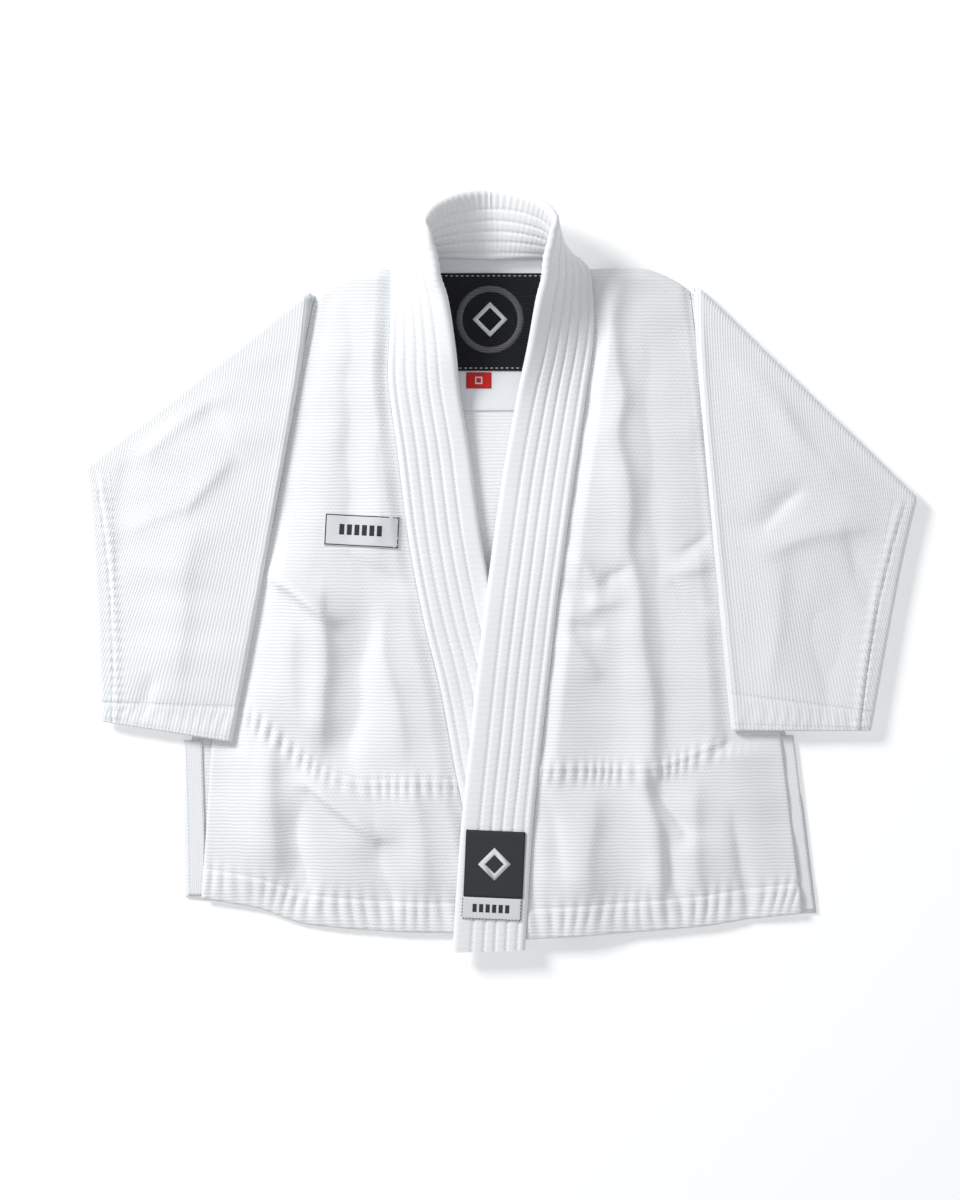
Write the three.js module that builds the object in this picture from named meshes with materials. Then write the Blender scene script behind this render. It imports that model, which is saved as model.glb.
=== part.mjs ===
// A child's martial arts jacket lying on its back, with both sleeves folded down
// over the fronts and the wearer's left front laid over the right one.
// Millimetres, +Z up. +X is the wearer's left, +Y is towards the collar.
import * as THREE from 'three';
import { mergeVertices } from 'three/addons/utils/BufferGeometryUtils.js';

// Cloth
const CLOTH = 2.0; // body, skirt and sleeve cloth
const TAPE = 0.8; // linings, tapes, labels and patches
const HEM_CLOTH = 2.8; // turned and stitched hems
const AIR = 1.5; // air between two layers lying on each other
const JOIN = 0.3; // clearance where two pieces meet
const FOLD_GAP = 1.2; // clearance from a fold line to the cloth on either side

// Collar band
const LAPEL_WIDTH = 58;
const LAPEL_THICK = 7.5;
const COVER = 1.6; // cloth of the cover sewn round the core
const CUT = 50; // from the shoulder down to where a lapel starts to turn

// Overall
const CENTRE_X = -8; // middle of the neck
const SHOULDER_Y = 240;
const SIDE_LENGTH = 514; // shoulder line to the hem corner of the wearer's left front
const SKIRT_DROP = 398; // shoulder line to the skirt seam beside the lapels
const HEM_HEIGHT = 24;
const CUFF_HEIGHT = 22;
const VENT_TAPE_WIDTH = 15;

// Each side, as distances out from the middle of the neck and down from the shoulder line
const LEFT = {
  name: 'left', sign: 1, neck: 80, shoulder: 143, armpit: [184, 218],
  elbow: [335, 186], foldStart: 0.09, sleeveLength: 185, sleeveLean: -10, cuffWidth: 110, cuffLean: 0,
  ventTop: [232, 372], hemCorner: [249, 0], backOut: 12, flapHem: 208, seamRise: 30,
};
const RIGHT = {
  name: 'right', sign: -1, neck: 78, shoulder: 114, armpit: [177, 202],
  elbow: [318, 160], foldStart: 0.13, sleeveLength: 201, sleeveLean: -2.5, cuffWidth: 104, cuffLean: 9,
  ventTop: [233, 376], hemCorner: [230, -12], backOut: 13, flapHem: 220, seamRise: 44,
};

// Levels, from the table up
const FRONT_Z = CLOTH + AIR;
const FRONT_TOP = FRONT_Z + CLOTH;
const FOLD_Z = FRONT_TOP + 0.4; // the sleeves' fold lines
const FLAP_Z = FRONT_TOP + 0.2; // the fronts' fold lines
const BAND_LOW = FRONT_Z + LAPEL_THICK / 2; // middle of the collar band where it lies lowest
const BAND_HIGH = BAND_LOW + LAPEL_THICK + 0.5; // and where one lapel lies on the other

const weave = { color: 0xf3f5f7, roughness: 0.9, metalness: 0 };
const plain = { color: 0xf7f8f9, roughness: 0.85, metalness: 0 };
const foam = { color: 0xdcdad2, roughness: 0.95, metalness: 0 };
const black = { color: 0x17181b, roughness: 0.6, metalness: 0 };
const charcoal = { color: 0x3b3d40, roughness: 0.65, metalness: 0 };
const red = { color: 0xd9231f, roughness: 0.5, metalness: 0 };

const jacket = new THREE.Group();

function lerp(a, b, t) {
  return a + (b - a) * t;
}

function steps(count) {
  return Array.from({ length: count + 1 }, (_, i) => i / count);
}

function smooth(t) {
  const s = Math.min(1, Math.max(0, t));
  return s * s * (3 - 2 * s);
}

// x on a line of [x, y] points that runs down in y
function xOnLine(points, y) {
  let k = 1;
  while (k < points.length - 1 && y < points[k][1]) k += 1;
  const [a, b] = [points[k - 1], points[k]];
  return lerp(a[0], b[0], (y - a[1]) / (b[1] - a[1]));
}

function place(side, out, down) {
  return [CENTRE_X + side.sign * out, SHOULDER_Y - down];
}

// A closed body between two grids of points. With wrap, each row is a closed ring.
function skin(outer, inner, wrap = false) {
  const rows = outer.length;
  const cols = outer[0].length;
  const position = [...outer.flat(2), ...inner.flat(2)];
  const at = (layer, i, j) => layer * rows * cols + i * cols + (j % cols);
  const index = [];
  const quad = (a, b, c, d) => index.push(a, b, c, a, c, d);
  const lastCol = wrap ? cols : cols - 1;
  for (let i = 0; i < rows - 1; i += 1) {
    for (let j = 0; j < lastCol; j += 1) {
      quad(at(0, i, j), at(0, i + 1, j), at(0, i + 1, j + 1), at(0, i, j + 1));
      quad(at(1, i, j), at(1, i, j + 1), at(1, i + 1, j + 1), at(1, i + 1, j));
    }
  }
  for (let j = 0; j < lastCol; j += 1) {
    quad(at(0, 0, j), at(0, 0, j + 1), at(1, 0, j + 1), at(1, 0, j));
    quad(at(0, rows - 1, j + 1), at(0, rows - 1, j), at(1, rows - 1, j), at(1, rows - 1, j + 1));
  }
  for (let i = 0; i < rows - 1 && !wrap; i += 1) {
    quad(at(0, i + 1, 0), at(0, i, 0), at(1, i, 0), at(1, i + 1, 0));
    quad(at(0, i, cols - 1), at(0, i + 1, cols - 1), at(1, i + 1, cols - 1), at(1, i, cols - 1));
  }
  return solid(position, index);
}

// A solid bar through a list of rings, closed with a fan at each end
function bar(rings) {
  const cols = rings[0].length;
  const position = rings.flat(2);
  const index = [];
  for (let i = 0; i < rings.length - 1; i += 1) {
    for (let j = 0; j < cols; j += 1) {
      const [a, b] = [i * cols + j, i * cols + ((j + 1) % cols)];
      index.push(a, a + cols, b + cols, a, b + cols, b);
    }
  }
  const end = (rings.length - 1) * cols;
  for (let j = 1; j < cols - 1; j += 1) {
    index.push(0, j, j + 1, end, end + j + 1, end + j);
  }
  return solid(position, index);
}

// Turns the faces outwards if the body came out inside out
function solid(position, index) {
  let geometry = new THREE.BufferGeometry();
  geometry.setAttribute('position', new THREE.Float32BufferAttribute(position, 3));
  let volume = 0;
  const corner = (k) => new THREE.Vector3().fromArray(position, index[k] * 3);
  for (let k = 0; k < index.length; k += 3) {
    volume += corner(k).dot(corner(k + 1).cross(corner(k + 2)));
  }
  for (let k = 0; volume < 0 && k < index.length; k += 3) {
    [index[k + 1], index[k + 2]] = [index[k + 2], index[k + 1]];
  }
  geometry.setIndex(index);
  geometry = mergeVertices(geometry);
  geometry.computeVertexNormals();
  return geometry;
}

function add(name, geometry, finish) {
  const mesh = new THREE.Mesh(geometry, new THREE.MeshStandardMaterial(finish));
  mesh.name = name;
  jacket.add(mesh);
}

// A piece of cloth between two edges, x as a function of y, and a top and a bottom line, y as a
// function of the share of the way across
function cloth({ from, to, top, bottom, height, thick, rows, cols = 8 }) {
  const low = rows.map((v) => steps(cols).map((u) => {
    const y = lerp(top(u), bottom(u), v);
    const x = lerp(from(y), to(y), u);
    return [x, y, height(x, y)];
  }));
  return skin(low.map((row) => row.map(([x, y, z]) => [x, y, z + thick])), low);
}

// ---- The collar band ----

// A band's stations are where its seam edge lies, the direction from that edge to the free edge,
// turned from +X in plan, and how far the band is tilted up. All are spread along smooth curves.
function spread(stations, count) {
  const all = [];
  const at = (k) => stations[Math.min(stations.length - 1, Math.max(0, k))];
  for (let k = 0; k < stations.length - 1; k += 1) {
    for (let step = 0; step < count; step += 1) {
      const t = step / count;
      all.push(at(k).map((value, n) => {
        const [a, b, c, d] = [at(k - 1)[n], value, at(k + 1)[n], at(k + 2)[n]];
        return b + 0.5 * t * (c - a + t * (2 * a - 5 * b + 4 * c - d + t * (3 * (b - c) + d - a)));
      }));
    }
  }
  all.push(stations[stations.length - 1]);
  return all.map(([x, y, z, turn, tilt]) => {
    const across = new THREE.Vector3(1, 0, 0);
    across.applyAxisAngle(new THREE.Vector3(0, -1, 0), THREE.MathUtils.degToRad(tilt));
    across.applyAxisAngle(new THREE.Vector3(0, 0, 1), THREE.MathUtils.degToRad(turn));
    return { seam: new THREE.Vector3(x, y, z), across };
  });
}

// A flat oval section, its seam edge at 0 and its free edge at the band's width
function section(inset) {
  const half = LAPEL_THICK / 2 - inset;
  const ring = [];
  const arc = steps(4).map((t) => Math.PI * (t - 0.5));
  arc.forEach((a) => ring.push([LAPEL_WIDTH - LAPEL_THICK / 2 + half * Math.cos(a), half * Math.sin(a)]));
  ring.push([LAPEL_WIDTH / 2, half]);
  arc.forEach((a) => ring.push([LAPEL_THICK / 2 - half * Math.cos(a), -half * Math.sin(a)]));
  ring.push([LAPEL_WIDTH / 2, -half]);
  return ring;
}

// Rings of the section along the band; the two end sections stand square to the given directions
function bandRings(band, inset, firstWay, lastWay) {
  return band.map(({ seam, across }, k) => {
    const [before, after] = [band[Math.max(0, k - 1)], band[Math.min(band.length - 1, k + 1)]];
    const middle = (s) => s.seam.clone().addScaledVector(s.across, LAPEL_WIDTH / 2);
    let way = middle(after).sub(middle(before));
    if (k === 0 && firstWay) way = firstWay.clone();
    if (k === band.length - 1 && lastWay) way = lastWay.clone();
    const out = new THREE.Vector3().crossVectors(way, across).normalize();
    return section(inset).map(([w, h]) => {
      const point = seam.clone().addScaledVector(across, w).addScaledVector(out, h);
      return point.toArray();
    });
  });
}

function addBand(name, band, firstWay, lastWay) {
  const cover = [0, COVER].map((inset) => bandRings(band, inset, firstWay, lastWay));
  add(`${name}_cover`, skin(cover[0], cover[1], true), weave);
  add(`${name}_core`, bar(bandRings(band, COVER + JOIN, firstWay, lastWay)), foam);
}

// The line that a front folds about, from the neck to the hem
function flapLine(side) {
  const neck = new THREE.Vector3(...place(side, side.neck, 0), FLAP_Z);
  const hem = new THREE.Vector3(...place(side, side.flapHem, SIDE_LENGTH), FLAP_Z);
  const way = hem.clone().sub(neck).normalize();
  return { neck, way, turn: THREE.MathUtils.radToDeg(Math.atan2(way.x, -way.y)) };
}

function flapX(side, y, gap) {
  const { neck, way } = flapLine(side);
  return neck.x + ((y - neck.y) * way.x) / way.y + side.sign * gap;
}

// The station where a lapel parts from the neck's collar, square to its fold line. 'in' is the
// seam edge's distance from that line.
function cutStation(side, inset, along) {
  const { neck, way, turn } = flapLine(side);
  const seam = neck.clone().addScaledVector(way, CUT + along);
  const facing = side.sign > 0 ? 180 + turn : turn;
  const inward = THREE.MathUtils.degToRad(facing);
  seam.x += inset * Math.cos(inward);
  seam.y += inset * Math.sin(inward);
  return [seam.x, seam.y, BAND_LOW, facing, 20];
}

const CUT_IN = { left: 10, right: 12 };

// The under lapel, of the wearer's right front, from the cut to the hem
const underStations = [
  cutStation(RIGHT, CUT_IN.right, JOIN / 2),
  [CENTRE_X - 81, SHOULDER_Y - 90, BAND_LOW, -8, 6],
  [CENTRE_X - 74, SHOULDER_Y - 144, BAND_LOW, -2, 0],
  [CENTRE_X - 65, SHOULDER_Y - 216, BAND_LOW, 3, 0],
  [CENTRE_X - 53, SHOULDER_Y - 280, BAND_LOW, 7, 0],
  [CENTRE_X - 39, SHOULDER_Y - 338, BAND_LOW, 9, 0],
  [CENTRE_X - 25, SHOULDER_Y - 414, BAND_LOW, 9, 0],
  [CENTRE_X, SHOULDER_Y - SIDE_LENGTH - 18, BAND_LOW, 5, 0],
];
// The over lapel, of the wearer's left front
const overStations = [
  cutStation(LEFT, CUT_IN.left, JOIN / 2),
  [CENTRE_X + 77, SHOULDER_Y - 98, BAND_LOW + 0.7, 190, 5],
  [CENTRE_X + 67, SHOULDER_Y - 168, BAND_LOW + 2.5, 182, 0],
  [CENTRE_X + 59, SHOULDER_Y - 226, BAND_LOW + 6, 182, 0],
  [CENTRE_X + 52, SHOULDER_Y - 279, BAND_HIGH, 183, 0],
  [CENTRE_X + 42, SHOULDER_Y - 369, BAND_HIGH, 184, 0],
  [CENTRE_X + 34, SHOULDER_Y - 446, BAND_HIGH, 185, 0],
  [CENTRE_X + 28, SHOULDER_Y - SIDE_LENGTH - 28, BAND_HIGH, 182, 0],
];
// The collar round the neck, standing at its corners and leaning out at the back
const collarStations = [
  cutStation(RIGHT, CUT_IN.right, -JOIN / 2),
  [CENTRE_X - 78, SHOULDER_Y - 16, BAND_LOW, -15, 38],
  [CENTRE_X - 76, SHOULDER_Y + 1, BAND_LOW, -10, 52],
  [CENTRE_X - 66, SHOULDER_Y + 8, BAND_LOW, 30, 68],
  [CENTRE_X - 52, SHOULDER_Y + 10, BAND_LOW, 88, 66],
  [CENTRE_X - 32, SHOULDER_Y + 9, BAND_LOW, 100, 45],
  [CENTRE_X, SHOULDER_Y + 7, BAND_LOW, 90, 22],
  [CENTRE_X + 32, SHOULDER_Y + 9, BAND_LOW, 80, 45],
  [CENTRE_X + 52, SHOULDER_Y + 10, BAND_LOW, 92, 66],
  [CENTRE_X + 66, SHOULDER_Y + 8, BAND_LOW, 150, 68],
  [CENTRE_X + 77, SHOULDER_Y + 1, BAND_LOW, 190, 52],
  [CENTRE_X + 81, SHOULDER_Y - 17, BAND_LOW, 194, 38],
  cutStation(LEFT, CUT_IN.left, -JOIN / 2),
];

const under = spread(underStations, 2);
const over = spread(overStations, 2);
const collar = spread(collarStations, 3);
const back = new THREE.Vector3(0, -1, 0);

addBand('collar', collar, flapLine(RIGHT).way.clone().negate(), flapLine(LEFT).way);
addBand('front_right_lapel', under, flapLine(RIGHT).way, back);
addBand('front_left_lapel', over, flapLine(LEFT).way, back);

const seamLine = (band) => band.map(({ seam }) => [seam.x, seam.y]);
const freeLine = (band) => band.map(({ seam, across }) => [
  seam.x + across.x * LAPEL_WIDTH, seam.y + across.y * LAPEL_WIDTH]);
const seamHeight = (band, y) => xOnLine(band.map(({ seam }) => [seam.z, seam.y]), y);

// ---- The back ----

const side = { left: LEFT, right: RIGHT };

// Outer edge of the front or the back: armhole, side seam, then the vent
function outerEdge(s, backOut, gap) {
  const hemDown = SIDE_LENGTH + s.hemCorner[1];
  const ventOut = s.ventTop[0] + backOut;
  const line = [[s.shoulder, 0], s.armpit, [ventOut, s.ventTop[1]], [s.hemCorner[0] + backOut, hemDown]];
  const points = line.map(([out, down]) => place(s, out, down));
  return (y) => xOnLine(points, y) - s.sign * gap;
}

function hemDown(s) {
  return SHOULDER_Y - SIDE_LENGTH - s.hemCorner[1];
}

// Rows with one at each level where an edge turns, so that straight rows keep to the edge
function rowsWith(marks, count) {
  return [...new Set([...steps(count), ...marks])].sort((a, b) => a - b);
}

const armpitShare = (s, bottom) => s.armpit[1] / (SHOULDER_Y - bottom);

const backHem = (u) => lerp(hemDown(RIGHT), hemDown(LEFT), u) - 12 * Math.sin(Math.PI * u);
const backLeft = outerEdge(LEFT, LEFT.backOut, 0);
const backRight = outerEdge(RIGHT, RIGHT.backOut, 0);
const flat = (z) => () => z;

add('back_panel', cloth({
  from: backRight, to: backLeft, top: flat(SHOULDER_Y), bottom: (u) => backHem(u) + HEM_HEIGHT,
  height: flat(0), thick: CLOTH, cols: 10,
  rows: rowsWith([
    armpitShare(RIGHT, backHem(0) + HEM_HEIGHT), armpitShare(LEFT, backHem(1) + HEM_HEIGHT)], 10),
}), weave);
add('back_hem_band', cloth({
  from: backRight, to: backLeft, top: (u) => backHem(u) + HEM_HEIGHT - JOIN, bottom: backHem,
  height: flat(0), thick: HEM_CLOTH, rows: [0, 1], cols: 10,
}), weave);

const LINING_HALF = 72;
const LINING_LENGTH = 113;
const LABEL_WIDTH = 90;
const LABEL_HEIGHT = 78;
const LABEL_DOWN = 3;
const LINING_Z = CLOTH + JOIN;
const LABEL_Z = LINING_Z + TAPE + JOIN;

function sheet(x0, x1, y0, y1, z, thick) {
  return cloth({
    from: flat(x0), to: flat(x1), top: flat(y1), bottom: flat(y0),
    height: flat(z), thick, rows: [0, 1], cols: 1,
  });
}

add('yoke_lining', sheet(CENTRE_X - LINING_HALF, CENTRE_X + LINING_HALF, SHOULDER_Y - LINING_LENGTH,
  SHOULDER_Y, LINING_Z, TAPE), plain);
const labelBottom = SHOULDER_Y - LABEL_DOWN - LABEL_HEIGHT;
add('neck_label', sheet(CENTRE_X - LABEL_WIDTH / 2, CENTRE_X + LABEL_WIDTH / 2, labelBottom,
  labelBottom + LABEL_HEIGHT, LABEL_Z, TAPE), black);

const TAG_WIDTH = 20;
const TAG_LENGTH = 14;
const TAG_X = CENTRE_X - 9; // middle of the tag, beside the right lapel's free edge
add('size_tag', sheet(TAG_X - TAG_WIDTH / 2, TAG_X + TAG_WIDTH / 2, labelBottom - TAG_LENGTH,
  labelBottom - FOLD_GAP, LABEL_Z, TAPE / 2), red);

// ---- The fronts ----

const lapels = { left: over, right: under };

// Where the skirt is sewn on: it drops from the side to the lapel
function skirtSeam(s) {
  return (u) => SHOULDER_Y - SKIRT_DROP - 14 + (s.sign > 0 ? 12 : 0) + s.seamRise * smooth(u * 1.6 - 0.6);
}

// The hem of a front, from the lapel (0) to its fold line (1)
function frontHem(s) {
  const endDown = s.sign > 0 ? 20 : 16;
  const y0 = SHOULDER_Y - SIDE_LENGTH - endDown;
  const y1 = hemDown(s) - (s.sign > 0 ? 3 : 6);
  return (u) => lerp(y0, y1, u);
}

// The left front lies over the right lapel and drops to the back beyond it
const RAMP = 42;
function frontHeight(s) {
  if (s.sign < 0) return flat(FRONT_Z);
  const hidden = freeLine(under);
  const seam = seamLine(over);
  return (x, y) => {
    const start = Math.max(xOnLine(hidden, y) + 3, xOnLine(seam, y));
    const raised = seamHeight(over, y) - BAND_LOW;
    return FRONT_Z + raised * (1 - smooth((x - start) / RAMP));
  };
}

for (const s of [LEFT, RIGHT]) {
  const front = `front_${s.name}`;
  const seam = seamLine(lapels[s.name]);
  const lapelEdge = (y) => xOnLine(seam, y) + s.sign * JOIN;
  const foldEdge = (y) => flapX(s, y, -FOLD_GAP);
  const height = frontHeight(s);
  const cutY = seam[0][1];
  const common = { from: lapelEdge, to: foldEdge, height };
  const hem = frontHem(s);
  const skirt = skirtSeam(s);
  add(`${front}_panel`, cloth({
    ...common, top: flat(cutY - 0.8), bottom: skirt, thick: CLOTH, rows: steps(12), cols: 8,
  }), weave);
  add(`${front}_skirt`, cloth({
    ...common, top: (u) => skirt(u) - JOIN, bottom: (u) => hem(u) + HEM_HEIGHT, thick: CLOTH,
    rows: steps(4), cols: 8,
  }), weave);
  add(`${front}_hem_band`, cloth({
    ...common, top: (u) => hem(u) + HEM_HEIGHT - JOIN, bottom: hem, thick: HEM_CLOTH,
    rows: [0, 1], cols: 8,
  }), weave);

  // The rest of the front, which stays down: the shoulder beside the collar and the side strip
  const neckSeam = seamLine(collar).filter(([, y]) => y <= SHOULDER_Y);
  const own = neckSeam.filter(([x]) => s.sign * (x - CENTRE_X) > 0).sort((a, b) => b[1] - a[1]);
  const stepY = cutY + 1.2;
  const innerEdge = (y) => (y >= stepY ? xOnLine(own, y) + s.sign * JOIN : flapX(s, y, FOLD_GAP));
  const topY = own[0][1];
  const sideHem = hemDown(s);
  const share = (y) => (topY - y) / (topY - sideHem);
  const below = steps(8).slice(1).map((t) => lerp(share(stepY), 1, t));
  const rows = [0, share(lerp(topY, stepY, 0.5)), share(stepY), share(stepY) + 0.0005,
    share(SHOULDER_Y - s.armpit[1]), ...below].sort((a, b) => a - b);
  add(`${front}_side`, cloth({
    from: innerEdge, to: outerEdge(s, 0, JOIN), top: flat(topY), bottom: flat(sideHem),
    height: flat(FRONT_Z), thick: CLOTH, rows, cols: 4,
  }), weave);

  // Tapes along both edges of the vent at the side
  const ventTop = SHOULDER_Y - s.ventTop[1] - 16;
  const tape = (backOut, z) => {
    const edge = outerEdge(s, backOut, JOIN);
    return cloth({
      from: (y) => edge(y) - s.sign * VENT_TAPE_WIDTH, to: edge, top: flat(ventTop),
      bottom: flat(sideHem + HEM_HEIGHT + JOIN), height: flat(z), thick: TAPE, rows: steps(2), cols: 1,
    });
  };
  add(`front_vent_tape_${s.name}`, tape(0, FRONT_TOP + JOIN), plain);
  add(`back_vent_tape_${s.name}`, tape(s.backOut, CLOTH + JOIN), plain);
}

// ---- The sleeves ----

function towards(a, b, t) {
  return [lerp(a[0], b[0], t), lerp(a[1], b[1], t)];
}

// A flattened tube: rows run along it, each between two [x, y] edge points. 'low' and 'high' are
// the levels of its outside, and a fold-over at only one edge leaves a U
function flatTube(edges, low, high, thick, bothEdges) {
  const cols = steps(6);
  const ring = (a, b, inset) => {
    const span = Math.hypot(b[0] - a[0], b[1] - a[1]);
    const near = bothEdges ? inset / span : 0;
    const far = 1 - inset / span;
    const line = cols.map((u) => towards(a, b, lerp(near, far, u)));
    const upper = line.map(([x, y]) => [x, y, high - inset]);
    const lower = line.map(([x, y]) => [x, y, low + inset]).reverse();
    return [...upper, ...lower];
  };
  const outer = edges.map(([a, b]) => ring(a, b, 0));
  const inner = edges.map(([a, b]) => ring(a, b, thick));
  return skin(outer, inner, bothEdges);
}

for (const s of [LEFT, RIGHT]) {
  const shoulder = place(s, s.shoulder, 1);
  const armpit = place(s, ...s.armpit);
  const elbow = place(s, ...s.elbow);
  const creaseWay = new THREE.Vector2(elbow[0] - shoulder[0], elbow[1] - shoulder[1]).normalize();
  const inward = [creaseWay.y * s.sign * FOLD_GAP, -creaseWay.x * s.sign * FOLD_GAP];
  const crease = (t) => {
    const [x, y] = towards(shoulder, elbow, t);
    return [x + inward[0], y + inward[1]];
  };

  // Upper part, from the armhole to the crease: a U closed along the underarm edge
  const armhole = (t) => {
    const [x, y] = towards(shoulder, armpit, t);
    return [x + s.sign * JOIN, y];
  };
  const upperRows = steps(5).map((t) => lerp(s.foldStart, 0.985, t));
  const across = steps(4).map((u) => upperRows.map((t) => towards(armhole(t), crease(t), u)));
  const outer = across.map((line) => [
    ...line.map(([x, y]) => [x, y, FRONT_TOP]), ...line.map(([x, y]) => [x, y, 0]).reverse()]);
  const innerLine = across.map((line) => line.map((p, k) => {
    if (k < line.length - 1) return p;
    const before = line[k - 1];
    const length = Math.hypot(p[0] - before[0], p[1] - before[1]);
    return towards(p, before, CLOTH / length);
  }));
  const inner = innerLine.map((line) => [
    ...line.map(([x, y]) => [x, y, FRONT_Z]), ...line.map(([x, y]) => [x, y, CLOTH]).reverse()]);
  add(`sleeve_${s.name}_upper`, skin(outer, inner), weave);

  // Gusset under the arm, between the two layers
  const gusset = 34;
  const centre = [armpit[0] + s.sign * JOIN, armpit[1]];
  add(`armpit_gusset_${s.name}`, cloth({
    from: (y) => centre[0] - s.sign * (4 + 0.3 * (centre[1] + 60 - y)), to: (y) => centre[0] - s.sign * 3,
    top: flat(centre[1] + gusset), bottom: flat(centre[1] + 6), height: flat(CLOTH + JOIN), thick: TAPE,
    rows: steps(2), cols: 2,
  }), plain);

  // Lower part and cuff, folded down over the front
  const lean = THREE.MathUtils.degToRad(s.sleeveLean);
  const outerCuff = [elbow[0] + s.sign * s.sleeveLength * Math.sin(lean), elbow[1] - s.sleeveLength * Math.cos(lean)];
  const cuffLean = THREE.MathUtils.degToRad(s.cuffLean);
  const innerCuff = [outerCuff[0] - s.sign * s.cuffWidth * Math.cos(cuffLean),
    outerCuff[1] - s.cuffWidth * Math.sin(cuffLean)];
  const innerTop = crease(s.foldStart);
  const outerTop = crease(1);
  const innerLength = Math.hypot(innerCuff[0] - innerTop[0], innerCuff[1] - innerTop[1]);
  const outerLength = Math.hypot(outerCuff[0] - outerTop[0], outerCuff[1] - outerTop[1]);
  const edgeAt = (t, back) => [
    towards(innerTop, innerCuff, t - back / innerLength), towards(outerTop, outerCuff, t - back / outerLength)];
  const tube = steps(8).map((t) => edgeAt(t, t * CUFF_HEIGHT));
  const top = 2 * FOLD_Z;
  const bottom = 2 * FOLD_Z - FRONT_TOP;
  add(`sleeve_${s.name}_lower`, flatTube(tube, bottom, top, CLOTH, true), weave);
  const cuff = [edgeAt(1, CUFF_HEIGHT - JOIN), edgeAt(1, 0)];
  add(`cuff_${s.name}`, flatTube(cuff, bottom, top, (FRONT_TOP - AIR + 0.8) / 2, true), weave);
}

// ---- Patches ----

const CHEST_PATCH = { width: 58, height: 26, out: 102, down: 209, turn: -3 };
const LAPEL_PATCH = { width: 47, height: 53, strip: 17, down: 447, turn: -2.5 };

function patch(width, height, centre, z, turn) {
  const geometry = new THREE.BoxGeometry(width, height, TAPE);
  geometry.rotateZ(THREE.MathUtils.degToRad(turn));
  geometry.translate(centre[0], centre[1], z + TAPE / 2);
  return geometry;
}

add('chest_patch', patch(CHEST_PATCH.width, CHEST_PATCH.height, place(RIGHT, CHEST_PATCH.out, CHEST_PATCH.down),
  FRONT_TOP + JOIN, CHEST_PATCH.turn), plain);

const onLapel = (down) => {
  const y = SHOULDER_Y - down;
  return [(xOnLine(seamLine(over), y) + xOnLine(freeLine(over), y)) / 2, y];
};
const lapelTop = BAND_HIGH + LAPEL_THICK / 2 + JOIN;
const patchMiddle = LAPEL_PATCH.down + LAPEL_PATCH.height / 2;
const stripMiddle = LAPEL_PATCH.down + LAPEL_PATCH.height + JOIN + LAPEL_PATCH.strip / 2;
add('lapel_patch', patch(LAPEL_PATCH.width, LAPEL_PATCH.height, onLapel(patchMiddle), lapelTop,
  LAPEL_PATCH.turn), charcoal);
add('lapel_patch_strip', patch(LAPEL_PATCH.width, LAPEL_PATCH.strip, onLapel(stripMiddle), lapelTop,
  LAPEL_PATCH.turn), plain);

export default jacket;
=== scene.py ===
"""A child's martial arts jacket lying on its back, sleeves folded down over its fronts.

Shapes are worked out in millimetres in the frame's own axes and written to meshes in metres.
+X is the wearer's left, +Y is towards the collar, +Z is up.
"""
import math

import bpy
import numpy as np
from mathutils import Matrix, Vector


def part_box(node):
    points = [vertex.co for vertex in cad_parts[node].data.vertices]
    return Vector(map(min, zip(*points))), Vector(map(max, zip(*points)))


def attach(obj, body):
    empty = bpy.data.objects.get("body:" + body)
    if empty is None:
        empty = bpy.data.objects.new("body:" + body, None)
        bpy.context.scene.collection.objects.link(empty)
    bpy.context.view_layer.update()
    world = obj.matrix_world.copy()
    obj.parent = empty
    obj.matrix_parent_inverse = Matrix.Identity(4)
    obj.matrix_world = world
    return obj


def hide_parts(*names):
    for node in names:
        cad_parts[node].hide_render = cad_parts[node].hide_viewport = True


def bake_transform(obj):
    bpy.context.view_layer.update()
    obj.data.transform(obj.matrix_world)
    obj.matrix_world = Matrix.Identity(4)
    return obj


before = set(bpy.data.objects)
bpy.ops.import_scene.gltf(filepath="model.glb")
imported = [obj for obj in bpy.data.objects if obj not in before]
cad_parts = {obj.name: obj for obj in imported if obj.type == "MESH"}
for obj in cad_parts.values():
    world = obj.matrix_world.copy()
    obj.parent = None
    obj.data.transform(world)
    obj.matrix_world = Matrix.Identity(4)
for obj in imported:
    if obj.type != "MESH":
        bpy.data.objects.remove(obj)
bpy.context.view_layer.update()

MM = 0.001

# ---- Design values, in millimetres, as in the frame's solids ----

CLOTH = 2.0  # thickness of the ribbed cloth
AIR = 1.5  # room between the back and the fronts
TAPE = 0.8  # thickness of the lining, label, tapes and patches
FRONT_MID = CLOTH + AIR + CLOTH / 2
LAPEL_WIDTH = 58.0
LAPEL_THICK = 7.5
BAND_LOW = CLOTH + AIR + LAPEL_THICK / 2  # middle of the right lapel, which lies under
BAND_HIGH = BAND_LOW + LAPEL_THICK + 0.5  # middle of the left lapel where it lies over
FOLD_Z = 5.9  # height of the line that a sleeve folds about
CENTRE_X = -8.0  # middle of the neck
SHOULDER_Y = 240.0
SIDE_LENGTH = 514.0
CUT = 50.0  # how far down the fold line the collar ends and a lapel begins
HEM_HEIGHT = 24.0
CUFF_DEPTH = 20.0
NECK_REACH = 9.0  # how far the back runs up under the collar, and how far it rises there
NECK_RISE = 4.2
SEAM_STITCH = dict(pitch=3.0, length=2.2, radius=0.3)

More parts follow.
